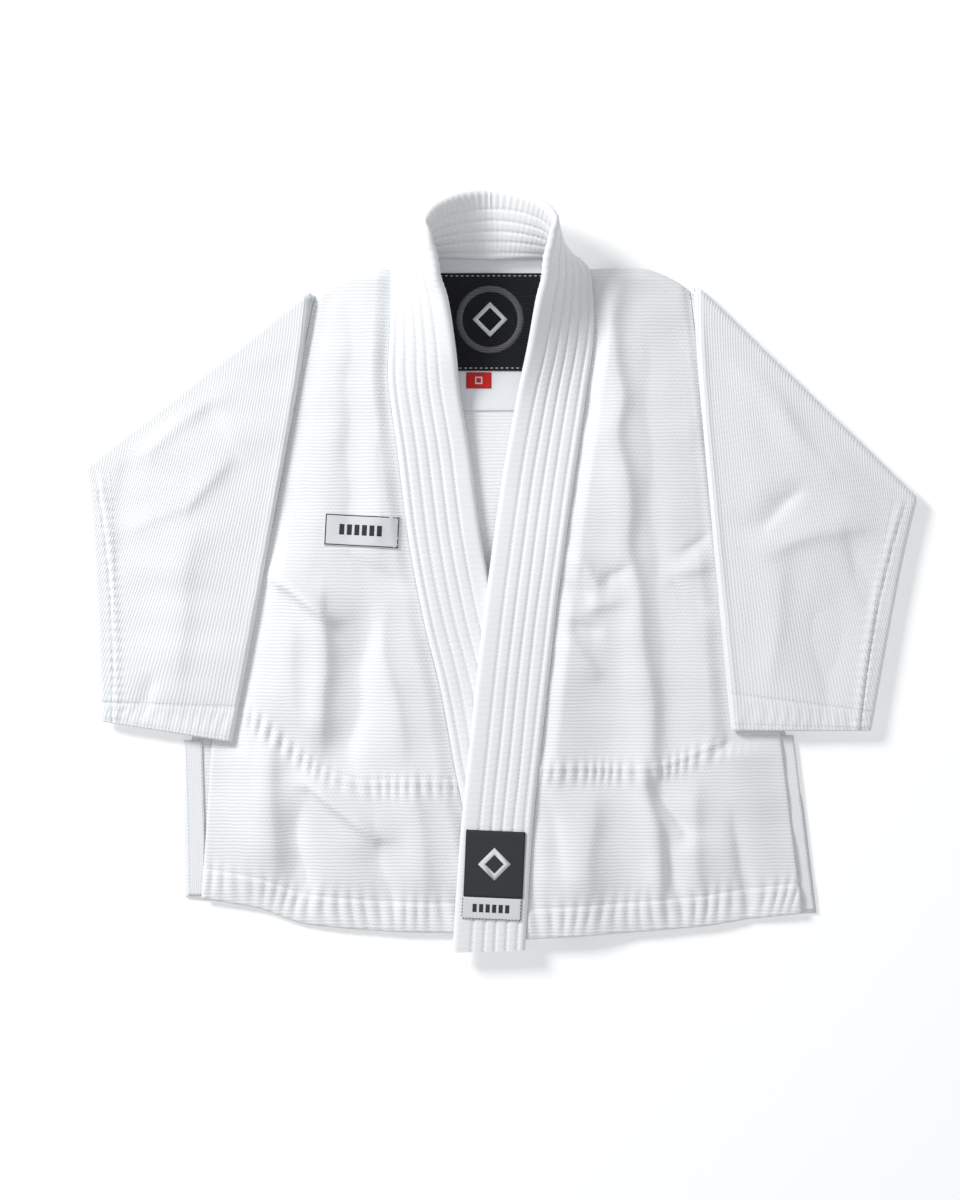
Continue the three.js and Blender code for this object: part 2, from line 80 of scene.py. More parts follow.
# Points are (out, down): out from the middle of the neck, down from the shoulder line.
SIDES = {
    "left": dict(
        sign=1, neck=80, shoulder=143, armpit=(184, 218), elbow=(335, 186), fold_start=0.09,
        sleeve_length=185, sleeve_lean=-10, cuff_width=110, cuff_lean=0, vent_top=(232, 372),
        hem_corner=(249, 0), back_out=12, flap_hem=208, cut_in=10, seam_down=400, seam_rise=32,
        hem_lift=20, hem_bow=2.0, hem_step=2.0, front_vent=0.0, under_sleeve=192, inner_ridge=1.0,
    ),
    "right": dict(
        sign=-1, neck=78, shoulder=114, armpit=(177, 202), elbow=(318, 160), fold_start=0.13,
        sleeve_length=201, sleeve_lean=-2.5, cuff_width=104, cuff_lean=9, vent_top=(233, 376),
        hem_corner=(230, -12), back_out=13, flap_hem=220, cut_in=12, seam_down=412, seam_rise=62,
        hem_lift=16, hem_bow=6.0, hem_step=8.0, front_vent=-11.0, under_sleeve=207, inner_ridge=0.3,
    ),
}


def lerp(a, b, t):
    return a + (b - a) * t


def smooth(t):
    s = np.clip(t, 0, 1)
    return s * s * (3 - 2 * s)


def hill(off, reach):
    """1 at 0, falling smoothly to nothing past about twice reach on either side."""
    return np.exp(-((off / reach) ** 2))


def wave(turns):
    return np.sin(2 * math.pi * turns)


def unit(vectors):
    return vectors / np.maximum(np.linalg.norm(vectors, axis=-1, keepdims=True), 1e-9)


def reaches(path):
    """How far along a path each of its points is."""
    return np.concatenate([[0], np.cumsum(np.linalg.norm(np.diff(path, axis=0), axis=1))])


def between(values, reach, at):
    """Rows of values, which stand at reach, worked out at other places along the same path."""
    return np.stack([np.interp(at, reach, values[:, k]) for k in range(values.shape[1])], 1)


def place(side, out, down):
    return np.array([CENTRE_X + side["sign"] * out, SHOULDER_Y - down])


def x_on_line(points, y):
    """x at each y on a line of (x, y) points that runs down in y."""
    p = np.array(points, float)[::-1]
    below = p[0, 0] + (y - p[0, 1]) * (p[1, 0] - p[0, 0]) / (p[1, 1] - p[0, 1])
    above = p[-1, 0] + (y - p[-1, 1]) * (p[-1, 0] - p[-2, 0]) / (p[-1, 1] - p[-2, 1])
    inside = np.interp(y, p[:, 1], p[:, 0])
    return np.where(y < p[0, 1], below, np.where(y > p[-1, 1], above, inside))


def ripple(x, y, size, seed, layers=7):
    """Smooth irregular relief between about -1 and 1 whose bumps are about size across."""
    rng = np.random.default_rng(seed)
    total = np.zeros(np.broadcast(x, y).shape)
    for _ in range(layers):
        angle, phase = rng.uniform(0, 2 * math.pi, 2)
        k = 2 * math.pi / (size * rng.uniform(1.3, 3.0))
        total += np.sin(k * (x * math.cos(angle) + y * math.sin(angle)) + phase)
    return total / math.sqrt(layers) / 1.4


# ---- Meshes ----

def make_mesh(name, points, faces, uv=None):
    """A mesh object from points in millimetres and an (n, 4) or (n, 3) array of corners."""
    mesh = bpy.data.meshes.new(name)
    faces = np.asarray(faces, np.int32)
    mesh.vertices.add(len(points))
    mesh.vertices.foreach_set("co", (np.asarray(points, np.float32) * MM).ravel())
    mesh.loops.add(faces.size)
    mesh.loops.foreach_set("vertex_index", faces.ravel())
    mesh.polygons.add(len(faces))
    mesh.polygons.foreach_set("loop_start", np.arange(0, faces.size, faces.shape[1], dtype=np.int32))
    if uv is not None:
        layer = mesh.uv_layers.new(name="cloth")
        layer.data.foreach_set("uv", (np.asarray(uv, np.float32)[faces.ravel()] * MM).ravel())
    mesh.update()
    mesh.validate()
    mesh.polygons.foreach_set("use_smooth", np.ones(len(faces), bool))
    ob = bpy.data.objects.new(name, mesh)
    bpy.context.scene.collection.objects.link(ob)
    return ob


def sharpen(ob, points):
    """Keeps the edges between the given points sharp, so that the shading stops at them."""
    chosen = np.zeros(len(ob.data.vertices), bool)
    chosen[points] = True
    ends = np.empty(len(ob.data.edges) * 2, np.int32)
    ob.data.edges.foreach_get("vertices", ends)
    sharp = chosen[ends.reshape(-1, 2)].all(1)
    layer = ob.data.attributes.get("sharp_edge") or ob.data.attributes.new("sharp_edge", "BOOLEAN", "EDGE")
    layer.data.foreach_set("value", sharp)


def normals_of(grid, wrap=False):
    if wrap:
        across = np.roll(grid, -1, 1) - np.roll(grid, 1, 1)
    else:
        across = np.gradient(grid, axis=1)
    return unit(np.cross(across, np.gradient(grid, axis=0)))


def edge_taper(rows, cols, wrap, joined):
    """Thins a cloth at its cut edges, so that they are rounded. Joined ends keep their thickness."""
    def ramp(count, first, last):
        t = np.ones(count)
        if first:
            t[:2] = 0.45, 0.85
        if last:
            t[-2:] = 0.85, 0.45
        return t
    across = ramp(cols, not wrap, not wrap)
    return np.minimum(ramp(rows, not joined[0], not joined[1])[:, None], across[None, :])[..., None]


def quads(rows, cols, wrap):
    i, j = np.meshgrid(np.arange(rows - 1), np.arange(cols if wrap else cols - 1), indexing="ij")
    i, j = i.ravel(), j.ravel()
    k = (j + 1) % cols
    return np.stack([i * cols + j, i * cols + k, (i + 1) * cols + k, (i + 1) * cols + j], 1)


def closed(top, low, wrap=False):
    """Points and faces of the closed sheet between two grids. wrap joins each row into a ring."""
    rows, cols = top.shape[:2]
    count = rows * cols
    last = count - cols
    upper = quads(rows, cols, wrap)
    js = np.arange(cols if wrap else cols - 1)
    ks = (js + 1) % cols
    faces = [
        upper, upper[:, ::-1] + count,
        np.stack([ks, js, js + count, ks + count], 1),
        np.stack([last + js, last + ks, last + ks + count, last + js + count], 1),
    ]
    if not wrap:
        a = np.arange(rows - 1) * cols
        b = a + cols - 1
        faces.append(np.stack([a, a + cols, a + cols + count, a + count], 1))
        faces.append(np.stack([b + cols, b, b + count, b + cols + count], 1))
    return np.concatenate([top.reshape(-1, 3), low.reshape(-1, 3)]), np.concatenate(faces)


def cloth(name, grid, uv, thick, wrap=False, joined=(False, False), normals=None):
    """A closed sheet of cloth about a grid of middle points. wrap joins each row into a ring.
    joined says whether its first and last rows meet another piece."""
    rows, cols = grid.shape[:2]
    n = normals_of(grid, wrap) if normals is None else normals
    half = thick / 2 * edge_taper(rows, cols, wrap, joined)
    top, low = grid + n * half, grid - n * half
    points, faces = closed(top, low, wrap)
    ob = make_mesh(name, points, faces, np.concatenate([uv.reshape(-1, 2)] * 2))
    count = rows * cols
    ends = [np.arange(cols) + row * cols + k * count
            for row, meets in ((0, joined[0]), (rows - 1, joined[1])) if meets for k in (0, 1)]
    if ends:
        sharpen(ob, np.concatenate(ends))
    return ob, top, low


def stitches(name, lines, pitch=3.4, length=2.5, radius=0.34, rise=0.12):
    """Threads lying along lines, each an (n, 3) path and its (n, 3) surface normals."""
    points, faces = [], []
    shape = np.array([[-0.5, 0, 0], [0, 1, 0], [0, 0, 1], [0, -1, 0], [0, 0, -1], [0.5, 0, 0]])
    tri = np.array([[0, 2, 1], [0, 3, 2], [0, 4, 3], [0, 1, 4], [5, 1, 2], [5, 2, 3], [5, 3, 4], [5, 4, 1]])
    scale = np.array([length, radius, radius])
    for path, normal in lines:
        reach = reaches(path)
        at = np.arange(pitch / 2, reach[-1], pitch)
        if not len(at):
            continue
        up = unit(between(normal, reach, at))
        way = unit(between(path, reach, at + 0.5) - between(path, reach, at - 0.5))
        frames = np.stack([way, np.cross(up, way), up], 1)
        centre = between(path, reach, at) + up * rise
        one = centre[:, None] + (shape * scale) @ frames
        starts = sum(len(p) for p in points) + len(shape) * np.arange(len(at))
        faces.append((tri + starts[:, None, None]).reshape(-1, 3))
        points.append(one.reshape(-1, 3))
    return make_mesh(name, np.concatenate(points), np.concatenate(faces))


# ---- Materials ----

def material(name, color, roughness=0.9, sheen=0.0):
    mat = bpy.data.materials.new(name)
    mat.use_nodes = True
    shader = mat.node_tree.nodes["Principled BSDF"]
    shader.inputs["Base Color"].default_value = (*color, 1)
    shader.inputs["Roughness"].default_value = roughness
    shader.inputs["Specular IOR Level"].default_value = 0.25
    shader.inputs["Sheen Weight"].default_value = sheen
    shader.inputs["Sheen Roughness"].default_value = 0.5
    return mat, shader


class Nodes:
    """Short names for building a node tree."""

    def __init__(self, mat):
        self.tree = mat.node_tree

    def new(self, kind, **values):
        node = self.tree.nodes.new(kind)
        for key, value in values.items():
            setattr(node, key, value)
        return node

    def link(self, a, b):
        self.tree.links.new(a, b)

    def math(self, operation, a, b=None, c=None):
        node = self.new("ShaderNodeMath", operation=operation)
        for socket, value in zip(node.inputs, (a, b, c)):
            if value is None:
                continue
            if isinstance(value, (int, float)):
                socket.default_value = value
            else:
                self.link(value, socket)
        return node.outputs[0]

    def noise(self, vector, scale, detail=2.0):
        node = self.new("ShaderNodeTexNoise")
        node.inputs["Scale"].default_value = scale
        node.inputs["Detail"].default_value = detail
        self.link(vector, node.inputs["Vector"])
        return node.outputs["Fac"]

    def mix(self, factor, low, high):
        node = self.new("ShaderNodeMix", data_type="RGBA")
        self.link(factor, node.inputs["Factor"])
        node.inputs["A"].default_value = (*low, 1)
        node.inputs["B"].default_value = (*high, 1)
        return node.outputs["Result"]


YARN_WANDER = 0.0022  # metres that a rib strays from its line
FUZZ_SHARE = 0.25  # how much the fuzz adds to the relief of the ribs


def woven(name, light, dark, rib, yarn, along_v=False, depth=0.5, rough=(0.85, 0.95), sheen=0.12,
          pearl=0.35):
    """Ribbed cloth. Ribs are rib apart and crossed by yarns yarn apart, both in millimetres.
    pearl is how much of the relief is in the single stitches instead of the rib."""
    mat, shader = material(name, light, 0.9, sheen)
    n = Nodes(mat)

    def stripes(position, period):
        turns = n.math("MULTIPLY", position, 2 * math.pi / (period * MM))
        return n.math("MULTIPLY_ADD", n.math("SINE", turns), 0.5, 0.5)

    uv = n.new("ShaderNodeUVMap", uv_map="cloth").outputs[0]
    wobble = n.noise(uv, 60.0, 2.0)
    split = n.new("ShaderNodeSeparateXYZ")
    n.link(uv, split.inputs[0])
    u, v = split.outputs[0], split.outputs[1]
    if along_v:
        u, v = v, u
    shifted = n.math("MULTIPLY_ADD", wobble, YARN_WANDER, v)
    ribs = stripes(shifted, rib)
    row = n.math("FLOOR", n.math("MULTIPLY", shifted, 1 / (rib * MM)))
    cross = stripes(n.math("ADD", u, n.math("MULTIPLY", row, 0.5 * yarn * MM)), yarn)
    pearls = n.math("MULTIPLY", n.math("MULTIPLY", ribs, cross), pearl)
    height = n.math("MULTIPLY_ADD", ribs, 1 - pearl, pearls)
    fuzz = n.noise(uv, 1400.0, 2.0)
    height = n.math("MULTIPLY_ADD", fuzz, FUZZ_SHARE, height)
    # Painted shade: the colour is darkened towards dark in the hollows between the ribs
    shade = n.math("POWER", ribs, 0.6)
    n.link(n.mix(shade, dark, light), shader.inputs["Base Color"])
    rough_node = n.new("ShaderNodeMapRange")
    rough_node.inputs["To Min"].default_value = rough[0]
    rough_node.inputs["To Max"].default_value = rough[1]
    n.link(fuzz, rough_node.inputs["Value"])
    n.link(rough_node.outputs[0], shader.inputs["Roughness"])
    bump = n.new("ShaderNodeBump")
    bump.inputs["Strength"].default_value = 1.0
    bump.inputs["Distance"].default_value = depth * MM
    n.link(height, bump.inputs["Height"])
    n.link(bump.outputs[0], shader.inputs["Normal"])
    return mat


def threadlike(name, color):
    mat, shader = material(name, color, 0.6, 0.1)
    n = Nodes(mat)
    where = n.new("ShaderNodeTexCoord").outputs["Object"]
    n.link(n.mix(n.noise(where, 900.0), tuple(c * 0.82 for c in color), color), shader.inputs["Base Color"])
    return mat


# The second colour given to each weave below is painted shade for the hollows between its ribs
WHITE = (0.887, 0.904, 0.913)
WHITE_HOLLOW_SHADE = (0.823, 0.843, 0.853)
pearl_body = woven("pearl_weave_body", WHITE, WHITE_HOLLOW_SHADE, 2.76, 3.4, depth=0.25)
pearl_sleeve = woven("pearl_weave_sleeve", WHITE, WHITE_HOLLOW_SHADE, 2.84, 3.4, along_v=True, depth=0.27)
drill = woven("lapel_drill", (0.90, 0.91, 0.92), (0.86, 0.87, 0.88), 1.1, 1.1, depth=0.10, pearl=0.5)
lining = woven("plain_lining", (0.86, 0.875, 0.905), (0.80, 0.815, 0.85), 0.8, 0.8,
               depth=0.08, pearl=0.5)
tape_cloth = woven("herringbone_tape", (0.90, 0.915, 0.93), (0.83, 0.848, 0.868), 1.5, 0.8,
                   along_v=True, depth=0.15)
grosgrain = woven("black_grosgrain", (0.020, 0.021, 0.024), (0.006, 0.006, 0.007), 1.7, 0.9,
                  depth=0.35, sheen=0.0)
charcoal = woven("charcoal_twill", (0.055, 0.058, 0.064), (0.028, 0.03, 0.034), 0.9, 0.9,
                 depth=0.15, sheen=0.0)
white_label = woven("white_label", (0.80, 0.81, 0.83), (0.68, 0.69, 0.72), 0.9, 0.9,
                    depth=0.12, sheen=0.0)
red_satin = woven("red_satin", (0.70, 0.016, 0.014), (0.50, 0.010, 0.010), 0.7, 0.7,
                  depth=0.08, rough=(0.4, 0.55))
grey_weave = woven("grey_weave", (0.16, 0.165, 0.175), (0.08, 0.082, 0.09), 1.7, 0.9,
                   depth=0.3, sheen=0.0)
thread = threadlike("white_thread", (0.90, 0.91, 0.93))
dark_thread = threadlike("dark_thread", (0.03, 0.032, 0.036))


def finish_piece(ob, mat, how, replaces=()):
    """Gives a piece its material, parents it to its body's empty when how names one body, and hides the parts
    of the frame that it stands for.
    """
    ob.data.materials.append(mat)
    if len(how) == 1:
        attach(ob, how[0])
    else:
        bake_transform(ob)
    if replaces:
        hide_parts(*replaces)
    return ob


# ---- The collar band ----

def flap_line(side):
    neck = np.array([*place(side, side["neck"], 0), 0.0])
    hem = np.array([*place(side, side["flap_hem"], SIDE_LENGTH), 0.0])
    way = (hem - neck) / np.linalg.norm(hem - neck)
    return neck, way, math.degrees(math.atan2(way[0], -way[1]))


def cut_station(side):
    """Where the collar ends and the lapel begins, a little inside the fold line."""
    neck, way, turn = flap_line(side)
    facing = 180 + turn if side["sign"] > 0 else turn
    inward = math.radians(facing)
    x, y, _ = neck + way * CUT + side["cut_in"] * np.array([math.cos(inward), math.sin(inward), 0])
    return [x, y, BAND_LOW, facing, 20]


def near(out, down, z, turn, tilt):
    return [CENTRE_X + out, SHOULDER_Y - down, z, turn, tilt]


UNDER = [
    cut_station(SIDES["right"]),
    near(-81, 90, BAND_LOW, -8, 6), near(-74, 144, BAND_LOW, -2, 0), near(-65, 216, BAND_LOW, 3, 0),
    near(-53, 280, BAND_LOW, 7, 0), near(-39, 338, BAND_LOW, 9, 0), near(-25, 414, BAND_LOW, 9, 0),
    near(0, SIDE_LENGTH + 18, BAND_LOW, 5, 0),
]
OVER = [
    cut_station(SIDES["left"]),
    near(77, 98, BAND_LOW + 0.7, 190, 5), near(67, 168, BAND_LOW + 2.5, 182, 0),
    near(59, 226, BAND_LOW + 6, 182, 0), near(52, 279, BAND_HIGH, 183, 0),
    near(42, 369, BAND_HIGH, 184, 0), near(34, 446, BAND_HIGH, 185, 0),
    near(28, SIDE_LENGTH + 28, BAND_HIGH, 182, 0),
]
NECK_RIGHT = [
    near(0, -7, BAND_LOW, 90, 22), near(-32, -9, BAND_LOW, 100, 45), near(-52, -10, BAND_LOW, 88, 66),
    near(-66, -8, BAND_LOW, 30, 68), near(-76, -1, BAND_LOW, -10, 52), near(-78, 16, BAND_LOW, -15, 38),
]
NECK_LEFT = [
    near(0, -7, BAND_LOW, 90, 22), near(32, -9, BAND_LOW, 80, 45), near(52, -10, BAND_LOW, 92, 66),
    near(66, -8, BAND_LOW, 150, 68), near(77, -1, BAND_LOW, 190, 52), near(81, 17, BAND_LOW, 194, 38),
]


def spread(stations, lead, count):
    """Stations along a smooth curve through those given; lead is the one before the first."""
    p = np.array([lead] + stations + [stations[-1]], float)
    out = []
    for k in range(1, len(p) - 2):
        t = np.arange(count)[:, None] / count
        a, b, c, d = p[k - 1], p[k], p[k + 1], p[k + 2]
        out.append(b + 0.5 * t * (c - a + t * (2 * a - 5 * b + 4 * c - d + t * (3 * (b - c) + d - a))))
    out.append(p[-1][None])
    return np.concatenate(out)


def band_frames(rows):
    """A band's seam edge, its way across, its outward side and its middle, at each station."""
    turn, tilt = np.radians(rows[:, 3]), np.radians(rows[:, 4])
    across = np.stack([np.cos(tilt) * np.cos(turn), np.cos(tilt) * np.sin(turn), np.sin(tilt)], 1)
    seam = rows[:, :3]
    middle = seam + across * LAPEL_WIDTH / 2
    return seam, across, unit(np.cross(np.gradient(middle, axis=0), across)), middle


def even_rows(rows, spacing):
    """The same curve with its stations spacing apart."""
    reach = reaches(band_frames(rows)[3])
    at = np.linspace(0, reach[-1], int(reach[-1] / spacing))
    return between(rows, reach, at), at


CHANNELS = [6.8, 15.6, 24.4, 33.2, 42.8]  # stitch lines, from the seam edge
CHANNEL_DEPTH, CHANNEL_REACH = 1.05, 1.1
BAND_SPACING = 1.25
ROLLED_EDGE = np.array([0.0, 0.25, 0.9, 2.0, 3.4])  # points stand closer round a rolled edge


def band_relief(at, w):
    """Height over the plain band of its stitched channels, and of its puckers near the neck."""
    at, w = at[:, None], w[None]
    groove, puff = np.zeros((2, at.shape[0], w.shape[1]))
    for k, c in enumerate(CHANNELS):
        line = c + 0.35 * ripple(at, np.zeros(1), 60, 30 + k)
        groove += CHANNEL_DEPTH * hill(w - line, CHANNEL_REACH)
    edges = [0.0] + CHANNELS + [LAPEL_WIDTH]
    for k, (a, b) in enumerate(zip(edges, edges[1:])):
        inside = np.clip((w - a) / (b - a), 0, 1)
        tug = 0.5 + 0.5 * wave(at / 5.2 + 0.3 * ripple(at, w, 30, 50 + k))
        fullness = 1.0 if k < len(CHANNELS) else 0.7
        puff += (0.38 + 0.24 * tug) * np.sin(math.pi * inside) ** 0.7 * fullness
    calm = 1 - 0.4 * smooth((110 - at) / 40)
    near_neck = smooth((120 - at) / 50)
    rim = 0.35 + 0.65 * smooth((w - 40) / 8)
    pucker = 0.5 * near_neck * rim * wave(at / 4.6 + 0.5 * ripple(at, w * 0.4, 30, 70))
    return (puff - groove) * calm + 0.25 * ripple(at, w, 25, 71), pucker


def band_half(name, stations, lead, hem_body, side):
    """A lapel and its half of the collar, with the stitching and the tuple that both are finished with."""
    rows, at = even_rows(spread(stations, lead, 24), BAND_SPACING)
    seam, across, out, _ = band_frames(rows)
    sign = side["sign"]
    w = np.concatenate([ROLLED_EDGE, np.arange(4.6, LAPEL_WIDTH - 4, 0.95),
                        LAPEL_WIDTH - ROLLED_EDGE[::-1]])
    r = LAPEL_THICK / 2
    end = np.minimum(np.minimum(w, LAPEL_WIDTH - w), r)
    half = np.sqrt(np.maximum(r * r - (r - end) ** 2, 0))
    relief, pucker = band_relief(at, w)
    relief, pucker = relief * smooth(half / r * 1.2), pucker * half / r

    def shell(offset):
        return seam[:, None] + across[:, None] * w[None, :, None] + out[:, None] * (offset * sign)[..., None]

    upper, lower = shell(half + relief + pucker), shell(-(half + relief * 0.8 + pucker))
    loop = np.concatenate([upper, lower[:, ::-1][:, 1:-1]], 1)
    w_loop = np.concatenate([w, (LAPEL_WIDTH * 2 - w[::-1])[1:-1]])
    uv = np.stack(np.broadcast_arrays(w_loop[None], at[:, None]), 2)
    n_rows, cols = loop.shape[:2]
    last = (n_rows - 1) * cols
    j = np.arange(1, len(w) - 2)
    cap = np.stack([j, j + 1, cols - j - 1, cols - j], 1)
    faces = np.concatenate([quads(n_rows, cols, True), cap, cap[:, ::-1] + last])
    if sign < 0:
        faces = faces[:, ::-1]
    ob = make_mesh(f"{name}_cover", loop.reshape(-1, 3), faces, uv.reshape(-1, 2))
    sharpen(ob, np.concatenate([np.arange(cols), np.arange(cols) + last]))
    neck, way, _ = flap_line(side)
    how = ("torso", hem_body, tuple((neck + way * 2) * MM), tuple((neck + way * 95) * MM))
    lines = []
    for c in CHANNELS:
        j = int(np.argmin(abs(w - c)))
        lines += [(upper[:, j], out * sign), (lower[:, j], -out * sign)]
    return ob, stitches(f"{name}_stitching", lines), how


right_band, right_thread, right_band_how = band_half(
    "right_lapel", NECK_RIGHT + UNDER, NECK_LEFT[1][:3] + [80, 45], "front_right", SIDES["right"])
left_band, left_thread, left_band_how = band_half(
    "left_lapel", NECK_LEFT + OVER, NECK_RIGHT[1][:3] + [100, 45], "front_left", SIDES["left"])
finish_piece(right_band, drill, right_band_how,
             ["front_right_lapel_cover", "front_right_lapel_core"])
finish_piece(left_band, drill, left_band_how,
             ["front_left_lapel_cover", "front_left_lapel_core", "collar_cover", "collar_core"])
finish_piece(right_thread, thread, right_band_how)
finish_piece(left_thread, thread, left_band_how)


def seam_xy(stations):
    return spread(stations, stations[0], 8)[:, :2]


def free_xy(stations):
    seam, across, _, _ = band_frames(spread(stations, stations[0], 8))
    return (seam + across * LAPEL_WIDTH)[:, :2]


OWN_SEAM = {"left": seam_xy(NECK_LEFT[4:] + OVER), "right": seam_xy(NECK_RIGHT[4:] + UNDER)}
HIDDEN_FREE = free_xy(UNDER)
OVER_ROWS = spread(OVER, OVER[0], 8)


def lapel_edge(name, y):
    return x_on_line(OWN_SEAM[name], y)


def over_height(x, y):
    """How far the left front is lifted by the right lapel under it."""
    start = np.maximum(x_on_line(HIDDEN_FREE, y) + 3, lapel_edge("left", y))
    level = np.interp(-y, -OVER_ROWS[:, 1], OVER_ROWS[:, 2]) - BAND_LOW
    return level * (1 - smooth((x - start) / 60))


# ---- Wrinkles of the fronts ----

DRAPE = 1.35  # how deep the creases are, against the heights below

# Each is its points, out from the middle of the neck and down from the shoulder line, then its
# width, its height (below 0 for a hollow) and which flank is steep: 1 for the wearer's left or
# the upper flank, -1 for the other.
CREASES = {
    "right": [
        ([(186, 237), (158, 256), (130, 279)], 11, 6.6, -1),
        ([(134, 270), (130, 323), (135, 372)], 14, 5.0, 1),
        ([(100, 282), (104, 330), (112, 390)], 23, -5.0, 1), ([(111, 230), (68, 253)], 13, -2.4, 1),
        ([(144, 411), (120, 430), (92, 452)], 12, 6.0, -1), ([(153, 440), (150, 494)], 15, -5.6, 1),
        ([(178, 380), (172, 475)], 18, 4.4, 1), ([(190, 372), (188, 416)], 14, -0.9, -1),
        ([(111, 40), (112, 200)], 17, -2.2, -1), ([(88, 60), (92, 220)], 16, 1.6, 1),
        ([(62, 410), (50, 500)], 17, 3.0, 1), ([(90, 462), (80, 505)], 14, -3.2, 1),
        ([(160, 296), (158, 350)], 15, 2.0, 1), ([(88, 285), (70, 380)], 13, 2.4, 1),
    ],
    "left": [
        ([(96, 15), (100, 80), (110, 225), (119, 281), (128, 347), (126, 398)], 16, 4.4, 1),
        ([(126, 60), (132, 200), (140, 300), (142, 380)], 19, -1.8, -1),
        ([(62, 232), (74, 238), (84, 248)], 9, 2.1, -1), ([(62, 253), (78, 261)], 9, -2.0, 1),
        ([(92, 246), (108, 240)], 9, -1.7, 1), ([(78, 272), (102, 266)], 11, 2.0, -1),
        ([(66, 282), (84, 286)], 9, -2.0, 1), ([(64, 300), (80, 322)], 12, 2.0, 1),
        ([(152, 225), (180, 211)], 9, -1.8, 1), ([(147, 253), (171, 272)], 9, -1.8, 1),
        ([(150, 240), (186, 235)], 10, 2.0, -1), ([(133, 414), (155, 449)], 11, -4.0, -1),
        ([(136, 453), (146, 490)], 11, -4.2, -1), ([(124, 412), (133, 450), (136, 500)], 11, 4.4, 1),
        ([(162, 425), (166, 500)], 14, 3.2, 1), ([(196, 446), (206, 505)], 10, -3.0, -1),
        ([(47, 425), (55, 480)], 15, -3.2, 1), ([(80, 430), (76, 500)], 17, 3.2, 1),
    ],
    "left_sleeve": [
        ([(217, 90), (240, 125), (266, 160)], 18, 2.6, 1), ([(217, 207), (245, 178)], 15, -3.0, 1),
        ([(226, 222), (262, 212), (300, 206)], 14, 2.4, -1), ([(286, 214), (300, 262)], 12, -2.2, -1),
        ([(232, 240), (222, 330)], 18, 2.0, 1), ([(262, 280), (268, 350)], 15, -1.8, -1),
    ],
    "right_sleeve": [
        ([(222, 104), (246, 118), (270, 140)], 17, 2.6, -1), ([(228, 108), (200, 160)], 20, -2.0, 1),
        ([(206, 150), (240, 190), (284, 204)], 17, 2.2, -1), ([(270, 330), (274, 352)], 9, -2.2, 1),
        ([(240, 220), (250, 330)], 20, 2.0, 1), ([(292, 150), (296, 230)], 12, -1.8, -1),
    ],
}


CREASE_STRAY = 2.6  # how far a crease wanders from its line
STEEP_FLANK, SOFT_FLANK = 0.62, 1.3  # shares of a crease's width


def crease_height(name, x, y):
    side = SIDES[name.split("_")[0]]
    total = np.zeros(x.shape)
    for k, (points, width, height, steep) in enumerate(CREASES[name]):
        p = np.array([place(side, *q) for q in points])
        span = abs(p[-1] - p[0])
        upright = span[1] > span[0]
        along, across = (y, x) if upright else (x, y)
        main, other = (1, 0) if upright else (0, 1)
        p = p[np.argsort(p[:, main])]
        line = np.interp(along, p[:, main], p[:, other])
        off = across - line + CREASE_STRAY * ripple(along, np.zeros(1), 34, 200 + k)
        first, last = p[0, main], p[-1, main]
        fade = min(last - first, 60.0) * 0.5
        reach = smooth((along - first + fade) / (1.6 * fade)) * smooth((last + fade - along) / (1.6 * fade))
        flank = width * np.where(off * steep > 0, STEEP_FLANK, SOFT_FLANK)
        total += height / (1 + (off / flank) ** 2) ** 1.5 * reach
    return total


def sleeve_cover(name, x, y, margin=16.0):
    """0 under the folded sleeve and 1 clear of it, so that nothing pushes up into it."""
    side = SIDES[name]
    top = place(side, side["shoulder"] + 22, 24)
    low = place(side, side["under_sleeve"], 372)
    edge = lerp(top[0], low[0], np.clip((top[1] - y) / (top[1] - low[1]), 0, 1))
    clear = smooth(((edge - x) * side["sign"]) / margin)
    below = smooth((low[1] - 4 - y) / 14)
    return np.maximum(clear, below)


# ---- Fronts ----

def sleeve_top(side):
    start = place(side, side["shoulder"], 1)
    return lerp(start, place(side, *side["elbow"]), side["fold_start"])


def outer_edge(side, extra, y, at_vent=0.0):
    points = [
        sleeve_top(side), place(side, *side["armpit"]),
        place(side, side["vent_top"][0] + extra + at_vent, side["vent_top"][1]),
        place(side, side["hem_corner"][0] + extra, SIDE_LENGTH + side["hem_corner"][1]),
    ]
    return x_on_line(points, y)


def shoulder_drop(side, u, start=0.55):
    """How far the shoulder has dropped below its line, from share start to the sleeve seam."""
    t = np.clip((u - start) / (1 - start), 0, 1)
    return (SHOULDER_Y - sleeve_top(side)[1]) * (0.35 * t + 0.65 * t * t)


def hem_y(side):
    return SHOULDER_Y - SIDE_LENGTH - side["hem_corner"][1]


def front_lines(side, u):
    """y of the top, the skirt seam, the top of the hem and the hem, at each share u across."""
    top = SHOULDER_Y - shoulder_drop(side, u)
    seam = SHOULDER_Y - side["seam_down"] + side["seam_rise"] * smooth((u - 0.35) / 0.65)
    seam = seam + 1.2 * np.sin(9 * u)
    hem_in = SHOULDER_Y - SIDE_LENGTH - side["hem_lift"]
    step = side["hem_step"]
    hem = lerp(hem_in, hem_y(side) - step, u) - side["hem_bow"] * np.sin(math.pi * u)
    hem = hem + step * smooth((u - 0.62) / 0.2)
    return top, seam, hem + HEM_HEIGHT, hem


FRONT_PARTS = ("panel", "skirt", "hem_band")
FRONT_ROWS = (250, 75, 18)
FRONT_COLS = 120


